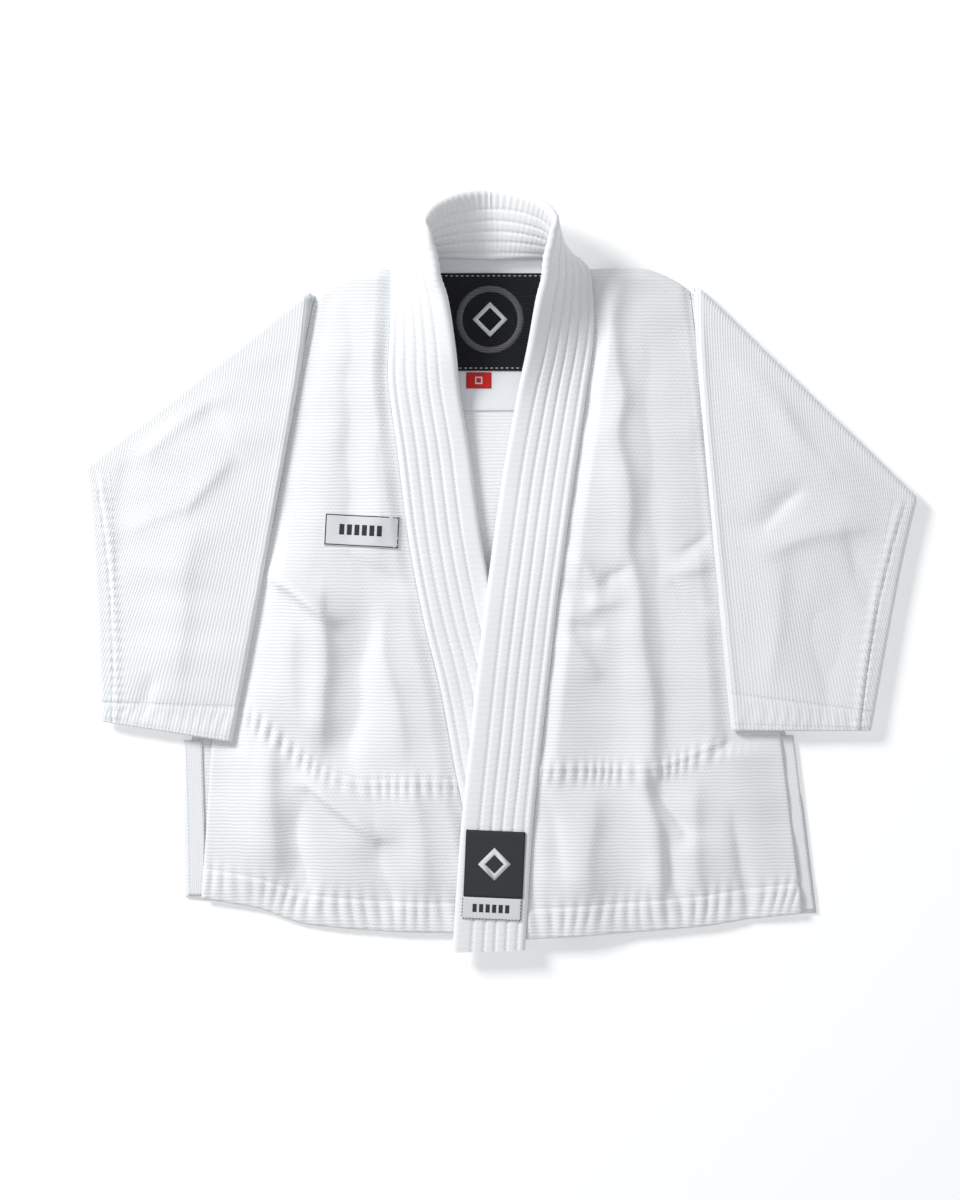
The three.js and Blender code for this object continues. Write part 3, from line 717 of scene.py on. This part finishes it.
def front_grid(name):
    """Middle points of a front from the shoulder to the hem, with the share of each across."""
    side = SIDES[name]
    u = np.linspace(0, 1, FRONT_COLS)
    v = [np.linspace(k, k + 1, n) for k, n in enumerate(FRONT_ROWS)]
    v = np.concatenate([v[0], v[1][1:], v[2][1:]])[:, None]
    levels = front_lines(side, u)
    y = np.zeros((len(v), FRONT_COLS))
    for k in range(3):
        inside = (v >= k) & (v <= k + 1)
        y = np.where(inside, levels[k] + (levels[k + 1] - levels[k]) * (v - k), y)
    x = lerp(lapel_edge(name, y), outer_edge(side, 0, y, side["front_vent"]), u[None])
    return x, y, u


LOWEST_FRONT = -1.6  # how far a front may sink below its flat level before it meets the back
INLAND_RISE = 4.6  # how far the middle of a front stands over its edges


def front_relief(name, x, y, u):
    """Height over the flat level of the seams, puckers and wrinkles of a front."""
    side = SIDES[name]
    top, seam, _, hem = (line[None] for line in front_lines(side, u))
    from_edge = (outer_edge(side, 0, y, side["front_vent"]) - x) * side["sign"]

    # The skirt seam: two sunk stitch lines, a raised seam allowance and puckers across both
    off = y - seam
    puckers = wave(x / 8.6 + 0.6 * ripple(x, off * 0.6, 34, 5))
    z = 1.35 * (0.75 + 0.35 * ripple(x, y * 0, 45, 6)) * puckers * hill(off + 2, 8.0)
    z -= 0.32 * hill(off + 2.2, 1.3) + 0.3 * hill(off - 5, 1.3)
    z += 0.9 * hill(off, 9.0) + 0.5 * smooth((off + 1) / 3.0) * np.exp(-np.maximum(off, 0) / 14)

    # The hem band
    hem_off = y - hem - HEM_HEIGHT
    puckers = wave(x / 10.4 + 0.55 * ripple(x, hem_off * 0.8, 38, 9))
    z += (1.0 + 0.5 * ripple(x, y * 0, 50, 10)) * puckers * hill(hem_off + 8, 13.0)
    z -= 0.45 * hill(hem_off, 1.5) + 0.3 * hill(y - hem - 4, 1.2)
    z += 0.5 * smooth(-hem_off / 4) * smooth((y - hem) / 3)

    inland = smooth((x - lapel_edge(name, y)) * side["sign"] / 14)
    from_vent = smooth(from_edge / 45)
    z += DRAPE * crease_height(name, x, y) * inland
    z += 1.5 * ripple(x, y, 60, 11) * inland + 0.5 * ripple(x, y, 20, 12)
    z += 0.4 + 0.8 * from_vent + INLAND_RISE * inland * from_vent * smooth((y - hem - 4) / 60)
    z = np.maximum(z, LOWEST_FRONT + 0.3 * (z - LOWEST_FRONT))
    z = np.maximum(z * sleeve_cover(name, x, y), LOWEST_FRONT)

    # Down to the back along the shoulder and the side seam
    z -= 2.6 * (1 - smooth((top - y) / 9))
    above_vent = smooth((y - (SHOULDER_Y - side["vent_top"][1])) / 10)
    z -= 2.0 * (1 - smooth(from_edge / 8)) * above_vent
    return z


def build_front(name):
    """A front's three cloths and its stitching; gives its middle points and the tuple its pieces are finished
    with.
    """
    side = SIDES[name]
    x, y, u = front_grid(name)
    z = FRONT_MID + front_relief(name, x, y, u)
    if name == "left":
        z = z + over_height(x, y)
    grid = np.stack([x, y, z], 2)
    normals = normals_of(grid)
    cuts = np.cumsum([0] + [n - 1 for n in FRONT_ROWS])
    body = f"front_{name}"
    neck, way, _ = flap_line(side)
    axis_at = neck + way * 260
    across = side["sign"] * np.cross(way, [0, 0, 1.0])
    how = ("torso", body, tuple((axis_at - across * 9) * MM), tuple((axis_at + across * 9) * MM))
    for k, part_name in enumerate(FRONT_PARTS):
        part = slice(cuts[k], cuts[k + 1] + 1)
        thick = CLOTH + (0.4 if part_name == "hem_band" else 0.0)
        ob, _, _ = cloth(f"{body}_{part_name}_cloth", grid[part], grid[part][..., :2], thick,
                         joined=(k > 0, k < 2), normals=normals[part])
        replaced = [f"{body}_{part_name}"] + ([f"{body}_side"] if k == 0 else [])
        finish_piece(ob, pearl_body, how, replaced)
    surface = grid + normals * CLOTH / 2
    lines = []
    for part, offset in ((1, 2), (1, -4), (2, 3), (2, 15)):
        row = cuts[part] + offset
        lines.append((surface[row, 2:-2], normals[row, 2:-2]))
    finish_piece(stitches(f"{body}_stitching", lines, **SEAM_STITCH), thread, how)
    return grid, how


# ---- Back ----

def neck_rise(y):
    return NECK_RISE * smooth((y - SHOULDER_Y + 1) / 9)


def build_back():
    left, right = SIDES["left"], SIDES["right"]
    rows, cols = 200, 120
    u = np.linspace(0, 1, cols)[None]
    v = np.linspace(0, 1, rows)[:, None]
    hem = lerp(hem_y(right), hem_y(left), u) - 12 * np.sin(math.pi * u)
    near_neck = smooth((0.20 - abs(u - 0.49)) / 0.04)
    drop = shoulder_drop(left, u, 0.78) + shoulder_drop(right, 1 - u, 0.78)
    y = lerp(SHOULDER_Y - drop + NECK_REACH * near_neck, hem, v)
    tuck = 7 * (1 - smooth((SHOULDER_Y - 374 - y) / 60))
    x = lerp(outer_edge(right, right["back_out"], y) + tuck,
             outer_edge(left, left["back_out"], y) - tuck, u)
    hem_off = y - hem - HEM_HEIGHT
    z = CLOTH / 2 + 0.1 + 0.25 * (1 + ripple(x, y, 50, 21)) * 0.5
    z = z + 0.3 * smooth(-hem_off / 2.0)
    puckers = wave(x / 9.1 + 0.9 * ripple(x, y * 0, 45, 19))
    z += 0.2 * (1 + puckers) * hill(hem_off + 9, 10)
    z = z + near_neck * neck_rise(y)
    grid = np.stack([x, y, z], 2)
    ob, up, _ = cloth("back_cloth", grid, np.stack([x, y], 2), CLOTH)
    finish_piece(ob, pearl_body, ("torso",), ["back_panel", "back_hem_band"])
    n = normals_of(grid)
    lines = [(up[row, 2:-2], n[row, 2:-2]) for row in (int(0.955 * rows), int(0.985 * rows))]
    sewn = stitches("back_hem_stitching", lines, pitch=3.0, length=2.2)
    finish_piece(sewn, thread, ("torso",))


# ---- Sleeves ----

def rotate_about(points, origin, axis, angle):
    """points turned by angle, one for each, about the line through origin along axis."""
    p = points - origin
    c, s = np.cos(angle)[..., None], np.sin(angle)[..., None]
    return origin + p * c + np.cross(axis, p) * s + axis * (p @ axis)[..., None] * (1 - c)


SLEEVE_ROWS = (46, 170)  # along the armhole, and from there to the cuff
SLEEVE_COLS = 96
ELBOW_ROUND = 12  # rows each way that the underarm line's corner is rounded over
BACK_ARC, FRONT_ARC = 7.5, 2.6  # cloth taken up round the fold by the sleeve's two layers
ARMHOLE_LENGTH = 40  # added to sleeve_length: about how far down the sleeve its rows begin


def sleeve_outline(side):
    """A sleeve laid straight out: its shoulder, the direction of its crease, and its top and
    underarm lines from the armhole to the cuff."""
    sign = side["sign"]
    shoulder = place(side, side["shoulder"], 1)
    armpit, elbow = place(side, *side["armpit"]), place(side, *side["elbow"])
    crease = (elbow - shoulder) / np.linalg.norm(elbow - shoulder)
    lean, cuff_lean = math.radians(side["sleeve_lean"]), math.radians(side["cuff_lean"])
    outer_cuff = elbow + side["sleeve_length"] * np.array([sign * math.sin(lean), -math.cos(lean)])
    inner_cuff = outer_cuff - side["cuff_width"] * np.array([sign * math.cos(cuff_lean), math.sin(cuff_lean)])

    def mirrored(p):
        return 2 * (shoulder + crease * ((p - shoulder) @ crease)) - p

    start = lerp(shoulder, elbow, side["fold_start"])
    t = np.linspace(0, 1, SLEEVE_ROWS[0])[:, None]
    s = np.linspace(0, 1, SLEEVE_ROWS[1])[1:, None]
    top = np.concatenate([lerp(start, lerp(start, elbow, 0.02), t), lerp(start, mirrored(inner_cuff), s)])
    low = np.concatenate([lerp(armpit, elbow, t), lerp(elbow, mirrored(outer_cuff), s)])
    window = np.ones(2 * ELBOW_ROUND + 1) / (2 * ELBOW_ROUND + 1)
    at = np.arange(len(low))
    keep = smooth((at - ELBOW_ROUND) / 8) * smooth((len(low) - ELBOW_ROUND - 1 - at) / 8)
    for k in range(2):
        soft = np.convolve(np.pad(low[:, k], ELBOW_ROUND, mode="edge"), window, "valid")
        low[:, k] = lerp(low[:, k], soft, keep)
    return shoulder, crease, top, low


def sleeve_relief(name, x, y, lower, a, across, width):
    """Height over the flat level of a folded sleeve, seen from above. lower is the share of the
    way from the armhole to the cuff, a the share across and across that in millimetres."""
    side = SIDES[name]
    seed = 41 + side["sign"]
    puff = np.sin(math.pi * a) ** 0.6
    relief = 1.6 * puff + 1.6 * puff * ripple(x, y, 55, seed) + 0.7 * puff * ripple(x, y, 22, seed + 2)
    relief = relief + 1.3 * crease_height(f"{name}_sleeve", x, y) * puff
    inner_ridge = side["inner_ridge"] * hill(across - 4, 3.5)
    off = across - width + lerp(11, 15, np.sin(math.pi * lower))
    seam = 1.1 * hill(off, 3.5) - 1.5 * hill(off - 2.4, 1.1)
    seam = seam + 0.3 * hill(off, 7) * np.sin(2 * math.pi * y / 7 + 2 * ripple(x, y, 30, 47))
    from_cuff = (1 - lower) * (side["sleeve_length"] + ARMHOLE_LENGTH)
    hem = -0.55 * hill(from_cuff - CUFF_DEPTH, 1.3) - 0.4 * hill(from_cuff - 4, 1.2)
    hem = hem + 0.22 * wave(across / 9 + 0.6 * ripple(x, y, 30, 48)) * hill(from_cuff - 11, 9)
    body = smooth(lower / 0.12)
    return np.maximum((relief + inner_ridge + seam) * body + hem, -0.8) * body


def build_sleeve(name):
    side = SIDES[name]
    sign = side["sign"]
    shoulder, crease, top_line, low_line = sleeve_outline(side)
    rows, armhole_rows, cols = len(top_line), SLEEVE_ROWS[0], SLEEVE_COLS

    # Two flat layers, one on the other, joined round both edges
    even = np.linspace(0, 1, cols)
    half_a = lerp(0.5 - 0.5 * np.cos(math.pi * even), even, 0.75)
    a = np.concatenate([half_a, half_a[::-1]])[None]
    is_back = np.arange(2 * cols)[None] < cols
    width = np.linalg.norm(low_line - top_line, axis=1)[:, None]
    ring = top_line[:, None] + (low_line - top_line)[:, None] * a[..., None]
    edge = np.clip(np.minimum(a, 1 - a) * width / 3.0, 0, 1)
    rounding = np.sqrt(np.clip(1 - (1 - edge) ** 2, 0, 1))
    middle = (CLOTH / 2 + FRONT_MID) / 2
    z = lerp(middle, np.where(is_back, CLOTH / 2, FRONT_MID), rounding)
    points = np.concatenate([ring, z[..., None]], 2)

    # Folded over along the crease; the cloth that the fold takes up is let out again
    outward = sign * np.array([-crease[1], crease[0]])
    beyond = (points[..., :2] - shoulder) @ outward
    arc = np.where(is_back, BACK_ARC, FRONT_ARC)
    angle = sign * np.pi * np.clip(beyond / arc + 0.5, 0, 1)
    shift = -np.clip(beyond + arc / 2, 0, arc) * np.exp(-np.clip(beyond - arc / 2, 0, None) / 30)
    points[..., :2] += outward * shift[..., None]
    folded = rotate_about(points, np.array([*shoulder, FOLD_Z]), np.array([*crease, 0.0]), angle)

    lower = np.clip((np.arange(rows) - armhole_rows) / (rows - armhole_rows), 0, 1)[:, None]
    across = a * width
    relief = sleeve_relief(name, folded[..., 0], folded[..., 1], lower, a, across, width)
    folded[..., 2] += np.where(is_back, relief * rounding, 0.0)

    along = reaches((top_line + low_line) / 2)
    uv = np.stack(np.broadcast_arrays(across, along[:, None]), 2)
    ob, up, low = cloth(f"sleeve_{name}_cloth", folded, uv, CLOTH, wrap=True)
    body = f"sleeve_{name}"
    how = ("torso", body, (0, 0, 5.5 * MM), (0, 0, 6.3 * MM))
    finish_piece(ob, pearl_sleeve, how,
                 [f"{body}_upper", f"{body}_lower", f"cuff_{name}"])

    # Two stitch lines round the cuff and one along the underarm seam, on the side that shows
    surface = up if up[-20:, cols // 2, 2].mean() > low[-20:, cols // 2, 2].mean() else low
    facing = np.zeros_like(surface)
    facing[..., 2] = 1.0
    lines = []
    for from_cuff in (4, CUFF_DEPTH):
        row = rows - 1 - int(from_cuff / (side["sleeve_length"] + ARMHOLE_LENGTH) * SLEEVE_ROWS[1])
        lines.append((surface[row, 2:cols - 2], facing[row, 2:cols - 2]))
    near_cuff = width[-60, 0]
    j = int(np.argmin(abs(half_a * near_cuff - (near_cuff - 14))))
    lines.append((surface[armhole_rows + 14:-3, j], facing[armhole_rows + 14:-3, j]))
    finish_piece(stitches(f"{body}_stitching", lines, **SEAM_STITCH), thread, (body,))


build_back()
front_left, _ = build_front("left")
front_right, front_right_how = build_front("right")
build_sleeve("left")
build_sleeve("right")


# ---- Labels, patches and tapes ----

ON_TORSO, ON_FLAP, ON_TAG = ("torso",), ("front_left",), ("size_tag",)


def strip(name, corners, rows, cols, thick, height):
    """A flat piece between four (x, y) corners in order round it, at height(x, y)."""
    p = np.array(corners, float)
    u = np.linspace(0, 1, cols)[None, :, None]
    v = np.linspace(0, 1, rows)[:, None, None]
    xy = lerp(lerp(p[0], p[1], u), lerp(p[3], p[2], u), v)
    grid = np.concatenate([xy, height(xy[..., 0], xy[..., 1])[..., None]], 2)
    width = np.linalg.norm(p[1] - p[0])
    length = np.linalg.norm(p[3] - p[0])
    uv = np.stack(np.broadcast_arrays(
        np.linspace(0, width, cols)[None], np.linspace(0, length, rows)[:, None]), 2)
    ob, _, _ = cloth(name, grid, uv, thick)
    return ob, grid


def box_corners(node):
    (x0, y0, _), (x1, y1, _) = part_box(node)
    x0, y0, x1, y1 = (c / MM for c in (x0, y0, x1, y1))
    return [(x0, y0), (x1, y0), (x1, y1), (x0, y1)]


def node_centre(node):
    low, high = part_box(node)
    return [(low[k] + high[k]) / 2 / MM for k in range(3)]


def level(z):
    return lambda x, y: z + 0.12 * ripple(x, y, 20, 81)


def circle(cx, cy, r, count=48, turn=0.0):
    t = np.arange(count) / count * 2 * math.pi + turn
    return np.column_stack([cx + r * np.cos(t), cy + r * np.sin(t)])


def flat_ring(name, centre, radii, z, mat, how, count=48, turn=0.0, thick=0.3):
    """A thin flat mark: a round ring, or with a count of 4 a hollow square."""
    outer, inner = (circle(*centre, r, count, turn) for r in radii)
    rings = [(outer, 0), (outer, 1), (inner, 1), (inner, 0)]
    points = np.concatenate([np.column_stack([xy, np.full(count, z + up * thick)]) for xy, up in rings])
    j = np.arange(count)
    k = (j + 1) % count
    faces = np.concatenate([quads(4, count, True), np.stack([3 * count + j, 3 * count + k, k, j], 1)])
    return finish_piece(make_mesh(name, points, faces[:, ::-1], points[:, :2]), mat, how)


def edge_lines(corners, inset, z, sides=(0, 1, 2, 3)):
    """Paths just inside the edges of a flat piece, with their normals."""
    p = np.array(corners, float)
    q = p + np.sign(p.mean(0) - p) * inset
    lines = []
    for k in sides:
        xy = lerp(q[k], q[(k + 1) % 4], np.linspace(0, 1, 40)[:, None])
        lines.append((np.column_stack([xy, np.full(40, z)]), np.tile([0.0, 0.0, 1.0], (40, 1))))
    return lines


yoke_corners = box_corners("yoke_lining")
yoke_corners[2:] = [(x, y + NECK_REACH) for x, y in yoke_corners[2:]]
yoke_level = level(node_centre("yoke_lining")[2] + 0.1)
yoke, _ = strip("yoke_cloth", yoke_corners, 90, 70, TAPE, lambda x, y: yoke_level(x, y) + neck_rise(y))
finish_piece(yoke, lining, ON_TORSO, ["yoke_lining"])

label_corners = box_corners("neck_label")
_, label_y, label_z = node_centre("neck_label")
label, _ = strip("neck_label_cloth", label_corners, 60, 70, TAPE, level(label_z + 0.2))
finish_piece(label, grosgrain, ON_TORSO, ["neck_label"])
label_top = label_z + 0.2 + TAPE / 2
label_mark = (CENTRE_X, label_y + 2)
flat_ring("label_ring", label_mark, (27, 22), label_top - 0.05, grey_weave, ON_TORSO)
flat_ring("label_diamond", label_mark, (14, 9.5), label_top - 0.05, white_label, ON_TORSO,
          count=4)
finish_piece(stitches("label_stitching", edge_lines(label_corners, 2.2, label_top, (0, 2)),
                      pitch=4.2, length=3.0, radius=0.42), thread, ON_TORSO)

TAG_THICK = 0.5
tag_x, tag_y, tag_z = node_centre("size_tag")
tag, _ = strip("size_tag_cloth", box_corners("size_tag"), 14, 20, TAG_THICK, level(tag_z))
finish_piece(tag, red_satin, ON_TAG, ["size_tag"])
flat_ring("tag_square", (tag_x, tag_y), (4.2, 2.7), tag_z + TAG_THICK / 2, white_label, ON_TAG,
          count=4, turn=math.pi / 4, thick=0.2)


def sample_height(grid, x, y):
    """Height of a cloth's middle at points: that of the nearest point of its grid."""
    gx, gy, gz = grid[..., 0], grid[..., 1], grid[..., 2]
    out = np.empty(x.shape)
    flat_out, fx, fy = out.ravel(), x.ravel(), y.ravel()
    one_column = gy[:, gy.shape[1] // 3]
    for k in range(len(fx)):
        i = int(np.argmin(abs(one_column - fy[k])))
        j = int(np.argmin(abs(gx[i] - fx[k])))
        i = int(np.argmin(abs(gy[:, j] - fy[k])))
        near_rows = slice(max(0, i - 8), min(len(gy), i + 9))
        d = (gx[near_rows] - fx[k]) ** 2 + (gy[near_rows] - fy[k]) ** 2
        flat_out[k] = gz[near_rows].ravel()[int(np.argmin(d))]
    return out


def turned(centre, width, height, degrees):
    c, s = math.cos(math.radians(degrees)), math.sin(math.radians(degrees))
    out = []
    for a, b in ((-1, -1), (1, -1), (1, 1), (-1, 1)):
        dx, dy = a * width / 2, b * height / 2
        out.append((centre[0] + c * dx - s * dy, centre[1] + s * dx + c * dy))
    return out


def patch_on(corners, surface, mat, how, node, name, clearance):
    ob, grid = strip(name, corners, 26, 46, TAPE, lambda x, y: surface(x, y) + TAPE / 2 + clearance)
    finish_piece(ob, mat, how, [node])
    return grid


def marks_on(grid, marks, z_up, name, mat, how):
    """Flat marks given as (u0, v0, u1, v1) shares of a patch, laid on its surface."""
    rows, cols = grid.shape[:2]
    points, faces = [], []
    for u0, v0, u1, v1 in marks:
        i, j = np.meshgrid(np.linspace(v0, v1, 6) * (rows - 1), np.linspace(u0, u1, 14) * (cols - 1),
                           indexing="ij")
        i0, j0 = np.clip(i.astype(int), 0, rows - 2), np.clip(j.astype(int), 0, cols - 2)
        fi, fj = (i - i0)[..., None], (j - j0)[..., None]
        p = lerp(lerp(grid[i0, j0], grid[i0, j0 + 1], fj),
                 lerp(grid[i0 + 1, j0], grid[i0 + 1, j0 + 1], fj), fi)
        mark_points, mark_faces = closed(p + [0, 0, z_up], p + [0, 0, z_up - 0.3])
        faces.append(mark_faces + sum(len(q) for q in points))
        points.append(mark_points)
    points = np.concatenate(points)
    return finish_piece(make_mesh(name, points, np.concatenate(faces), points[:, :2]), mat, how)


def bars(first, step, wide, low, high):
    return [(first + step * k, low, first + wide + step * k, high) for k in range(6)]


def on_right_front(x, y):
    return sample_height(front_right, x, y) + CLOTH / 2


def on_left_lapel(x, y):
    return np.full(x.shape, BAND_HIGH + LAPEL_THICK / 2 + 0.75)


chest_corners = turned(place(SIDES["right"], 102, 209), 60, 26, -3)
chest = patch_on(chest_corners, on_right_front, white_label, front_right_how,
                 "chest_patch", "chest_patch_cloth", 0.2)
border = [(0.012, 0.03, 0.988, 0.06), (0.012, 0.94, 0.988, 0.97),
          (0.012, 0.06, 0.025, 0.94), (0.975, 0.06, 0.988, 0.94)]
marks_on(chest, border, TAPE / 2 + 0.12, "chest_patch_border", dark_thread, front_right_how)
marks_on(chest, bars(0.2, 0.1, 0.065, 0.36, 0.68), TAPE / 2 + 0.14, "chest_patch_bars", charcoal,
         front_right_how)

LAPEL_LEAN = -2.5
patch_corners = turned(node_centre("lapel_patch"), 47, 53, LAPEL_LEAN)
strip_corners = turned(node_centre("lapel_patch_strip"), 47, 17, LAPEL_LEAN)
patch_on(patch_corners, on_left_lapel, charcoal, ON_FLAP,
         "lapel_patch", "lapel_patch_cloth", 0.05)
white = patch_on(strip_corners, on_left_lapel, white_label, ON_FLAP,
                 "lapel_patch_strip", "lapel_strip_cloth", 0.05)
patch_z = BAND_HIGH + LAPEL_THICK / 2 + 0.8 + TAPE
flat_ring("lapel_patch_diamond", node_centre("lapel_patch")[:2], (13, 7.5), patch_z - 0.05, white_label,
          ON_FLAP, count=4)
marks_on(white, bars(0.18, 0.11, 0.07, 0.32, 0.70), TAPE / 2 + 0.14, "lapel_strip_bars", charcoal,
         ON_FLAP)
whip = edge_lines(patch_corners, 0.2, patch_z, (1, 3)) + edge_lines(strip_corners, 0.2, patch_z, (0, 1, 3))
finish_piece(stitches("lapel_patch_stitching", whip, pitch=2.6, length=1.9, radius=0.4), dark_thread,
             ON_FLAP)


def under_front(grid):
    return lambda x, y: sample_height(grid, x, y) - CLOTH / 2 - TAPE / 2 - 0.6


for name, side in SIDES.items():
    sign = side["sign"]
    vent_y = SHOULDER_Y - side["vent_top"][1]
    front = front_left if name == "left" else front_right
    for which, extra, at_vent, y_low, y_top, height, face in (
        ("front", 0.0, side["front_vent"], HEM_HEIGHT + 4, vent_y - 14, under_front(front), -TAPE / 2),
        ("back", side["back_out"], 0.0, 2, vent_y, level(CLOTH + 1.0), TAPE / 2),
    ):
        y = np.array([hem_y(side) + y_low, y_top])
        edge = outer_edge(side, extra, y, at_vent) - sign * 1.5
        inner = edge - sign * 15
        corners = [(inner[0], y[0]), (edge[0], y[0]), (edge[1], y[1]), (inner[1], y[1])]
        if sign < 0:
            corners = [corners[k] for k in (1, 0, 3, 2)]
        ob, tape_grid = strip(f"{which}_vent_tape_{name}_cloth", corners, 60, 10, TAPE, height)
        finish_piece(ob, tape_cloth, ON_TORSO, [f"{which}_vent_tape_{name}"])
        up = np.tile([0.0, 0.0, 1.0], (60, 1))
        lines = [(tape_grid[:, j] + [0, 0, face], up) for j in (1, 8)]
        finish_piece(stitches(f"{which}_vent_{name}_stitching", lines, **SEAM_STITCH),
                     thread, ON_TORSO)

# The armpit gussets stay as they are in the frame, in the cloth of the lining
for node in ("armpit_gusset_left", "armpit_gusset_right"):
    for material_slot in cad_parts[node].material_slots:
        material_slot.material = lining

# ---- Floor, light and camera ----

bpy.ops.mesh.primitive_plane_add(size=8, location=(0, 0, 0))
table = bpy.context.object
table.name = "table"
table_mat, table_shader = material("white_table", (0.98, 0.98, 0.98), 0.7)
table_shader.inputs["Emission Color"].default_value = (1, 1, 1, 1)
table_shader.inputs["Emission Strength"].default_value = 0.2
table.data.materials.append(table_mat)

world = bpy.data.worlds.new("studio")
bpy.context.scene.world = world
world.use_nodes = True
world.node_tree.nodes["Background"].inputs[0].default_value = (0.96, 0.98, 1.0, 1)
world.node_tree.nodes["Background"].inputs[1].default_value = 0.50


def lamp(name, location, aim, size, power, color=(1, 1, 1)):
    data = bpy.data.lights.new(name, "AREA")
    data.shape = "DISK"
    data.size = size
    data.energy = power
    data.color = color
    ob = bpy.data.objects.new(name, data)
    bpy.context.scene.collection.objects.link(ob)
    ob.location = location
    ob.rotation_euler = (Vector(aim) - Vector(location)).to_track_quat("-Z", "Y").to_euler()
    return ob


lamp("key", (-1.6, 1.15, 1.35), (0, 0, 0), 0.75, 43)
lamp("fill", (0.9, -0.9, 2.2), (0, 0, 0), 1.6, 3, (0.95, 0.97, 1))

scene = bpy.context.scene
scene.view_settings.view_transform = "Standard"
camera_data = bpy.data.cameras.new("camera")
LENS, SENSOR, VIEW_HEIGHT = 85, 36, 0.96
camera_data.lens = LENS
camera_data.sensor_fit = "VERTICAL"
camera_data.sensor_height = SENSOR
camera_data.clip_end = 50
camera = bpy.data.objects.new("camera", camera_data)
scene.collection.objects.link(camera)
camera.location = (-0.016, -0.024, VIEW_HEIGHT * LENS / SENSOR)
scene.camera = camera
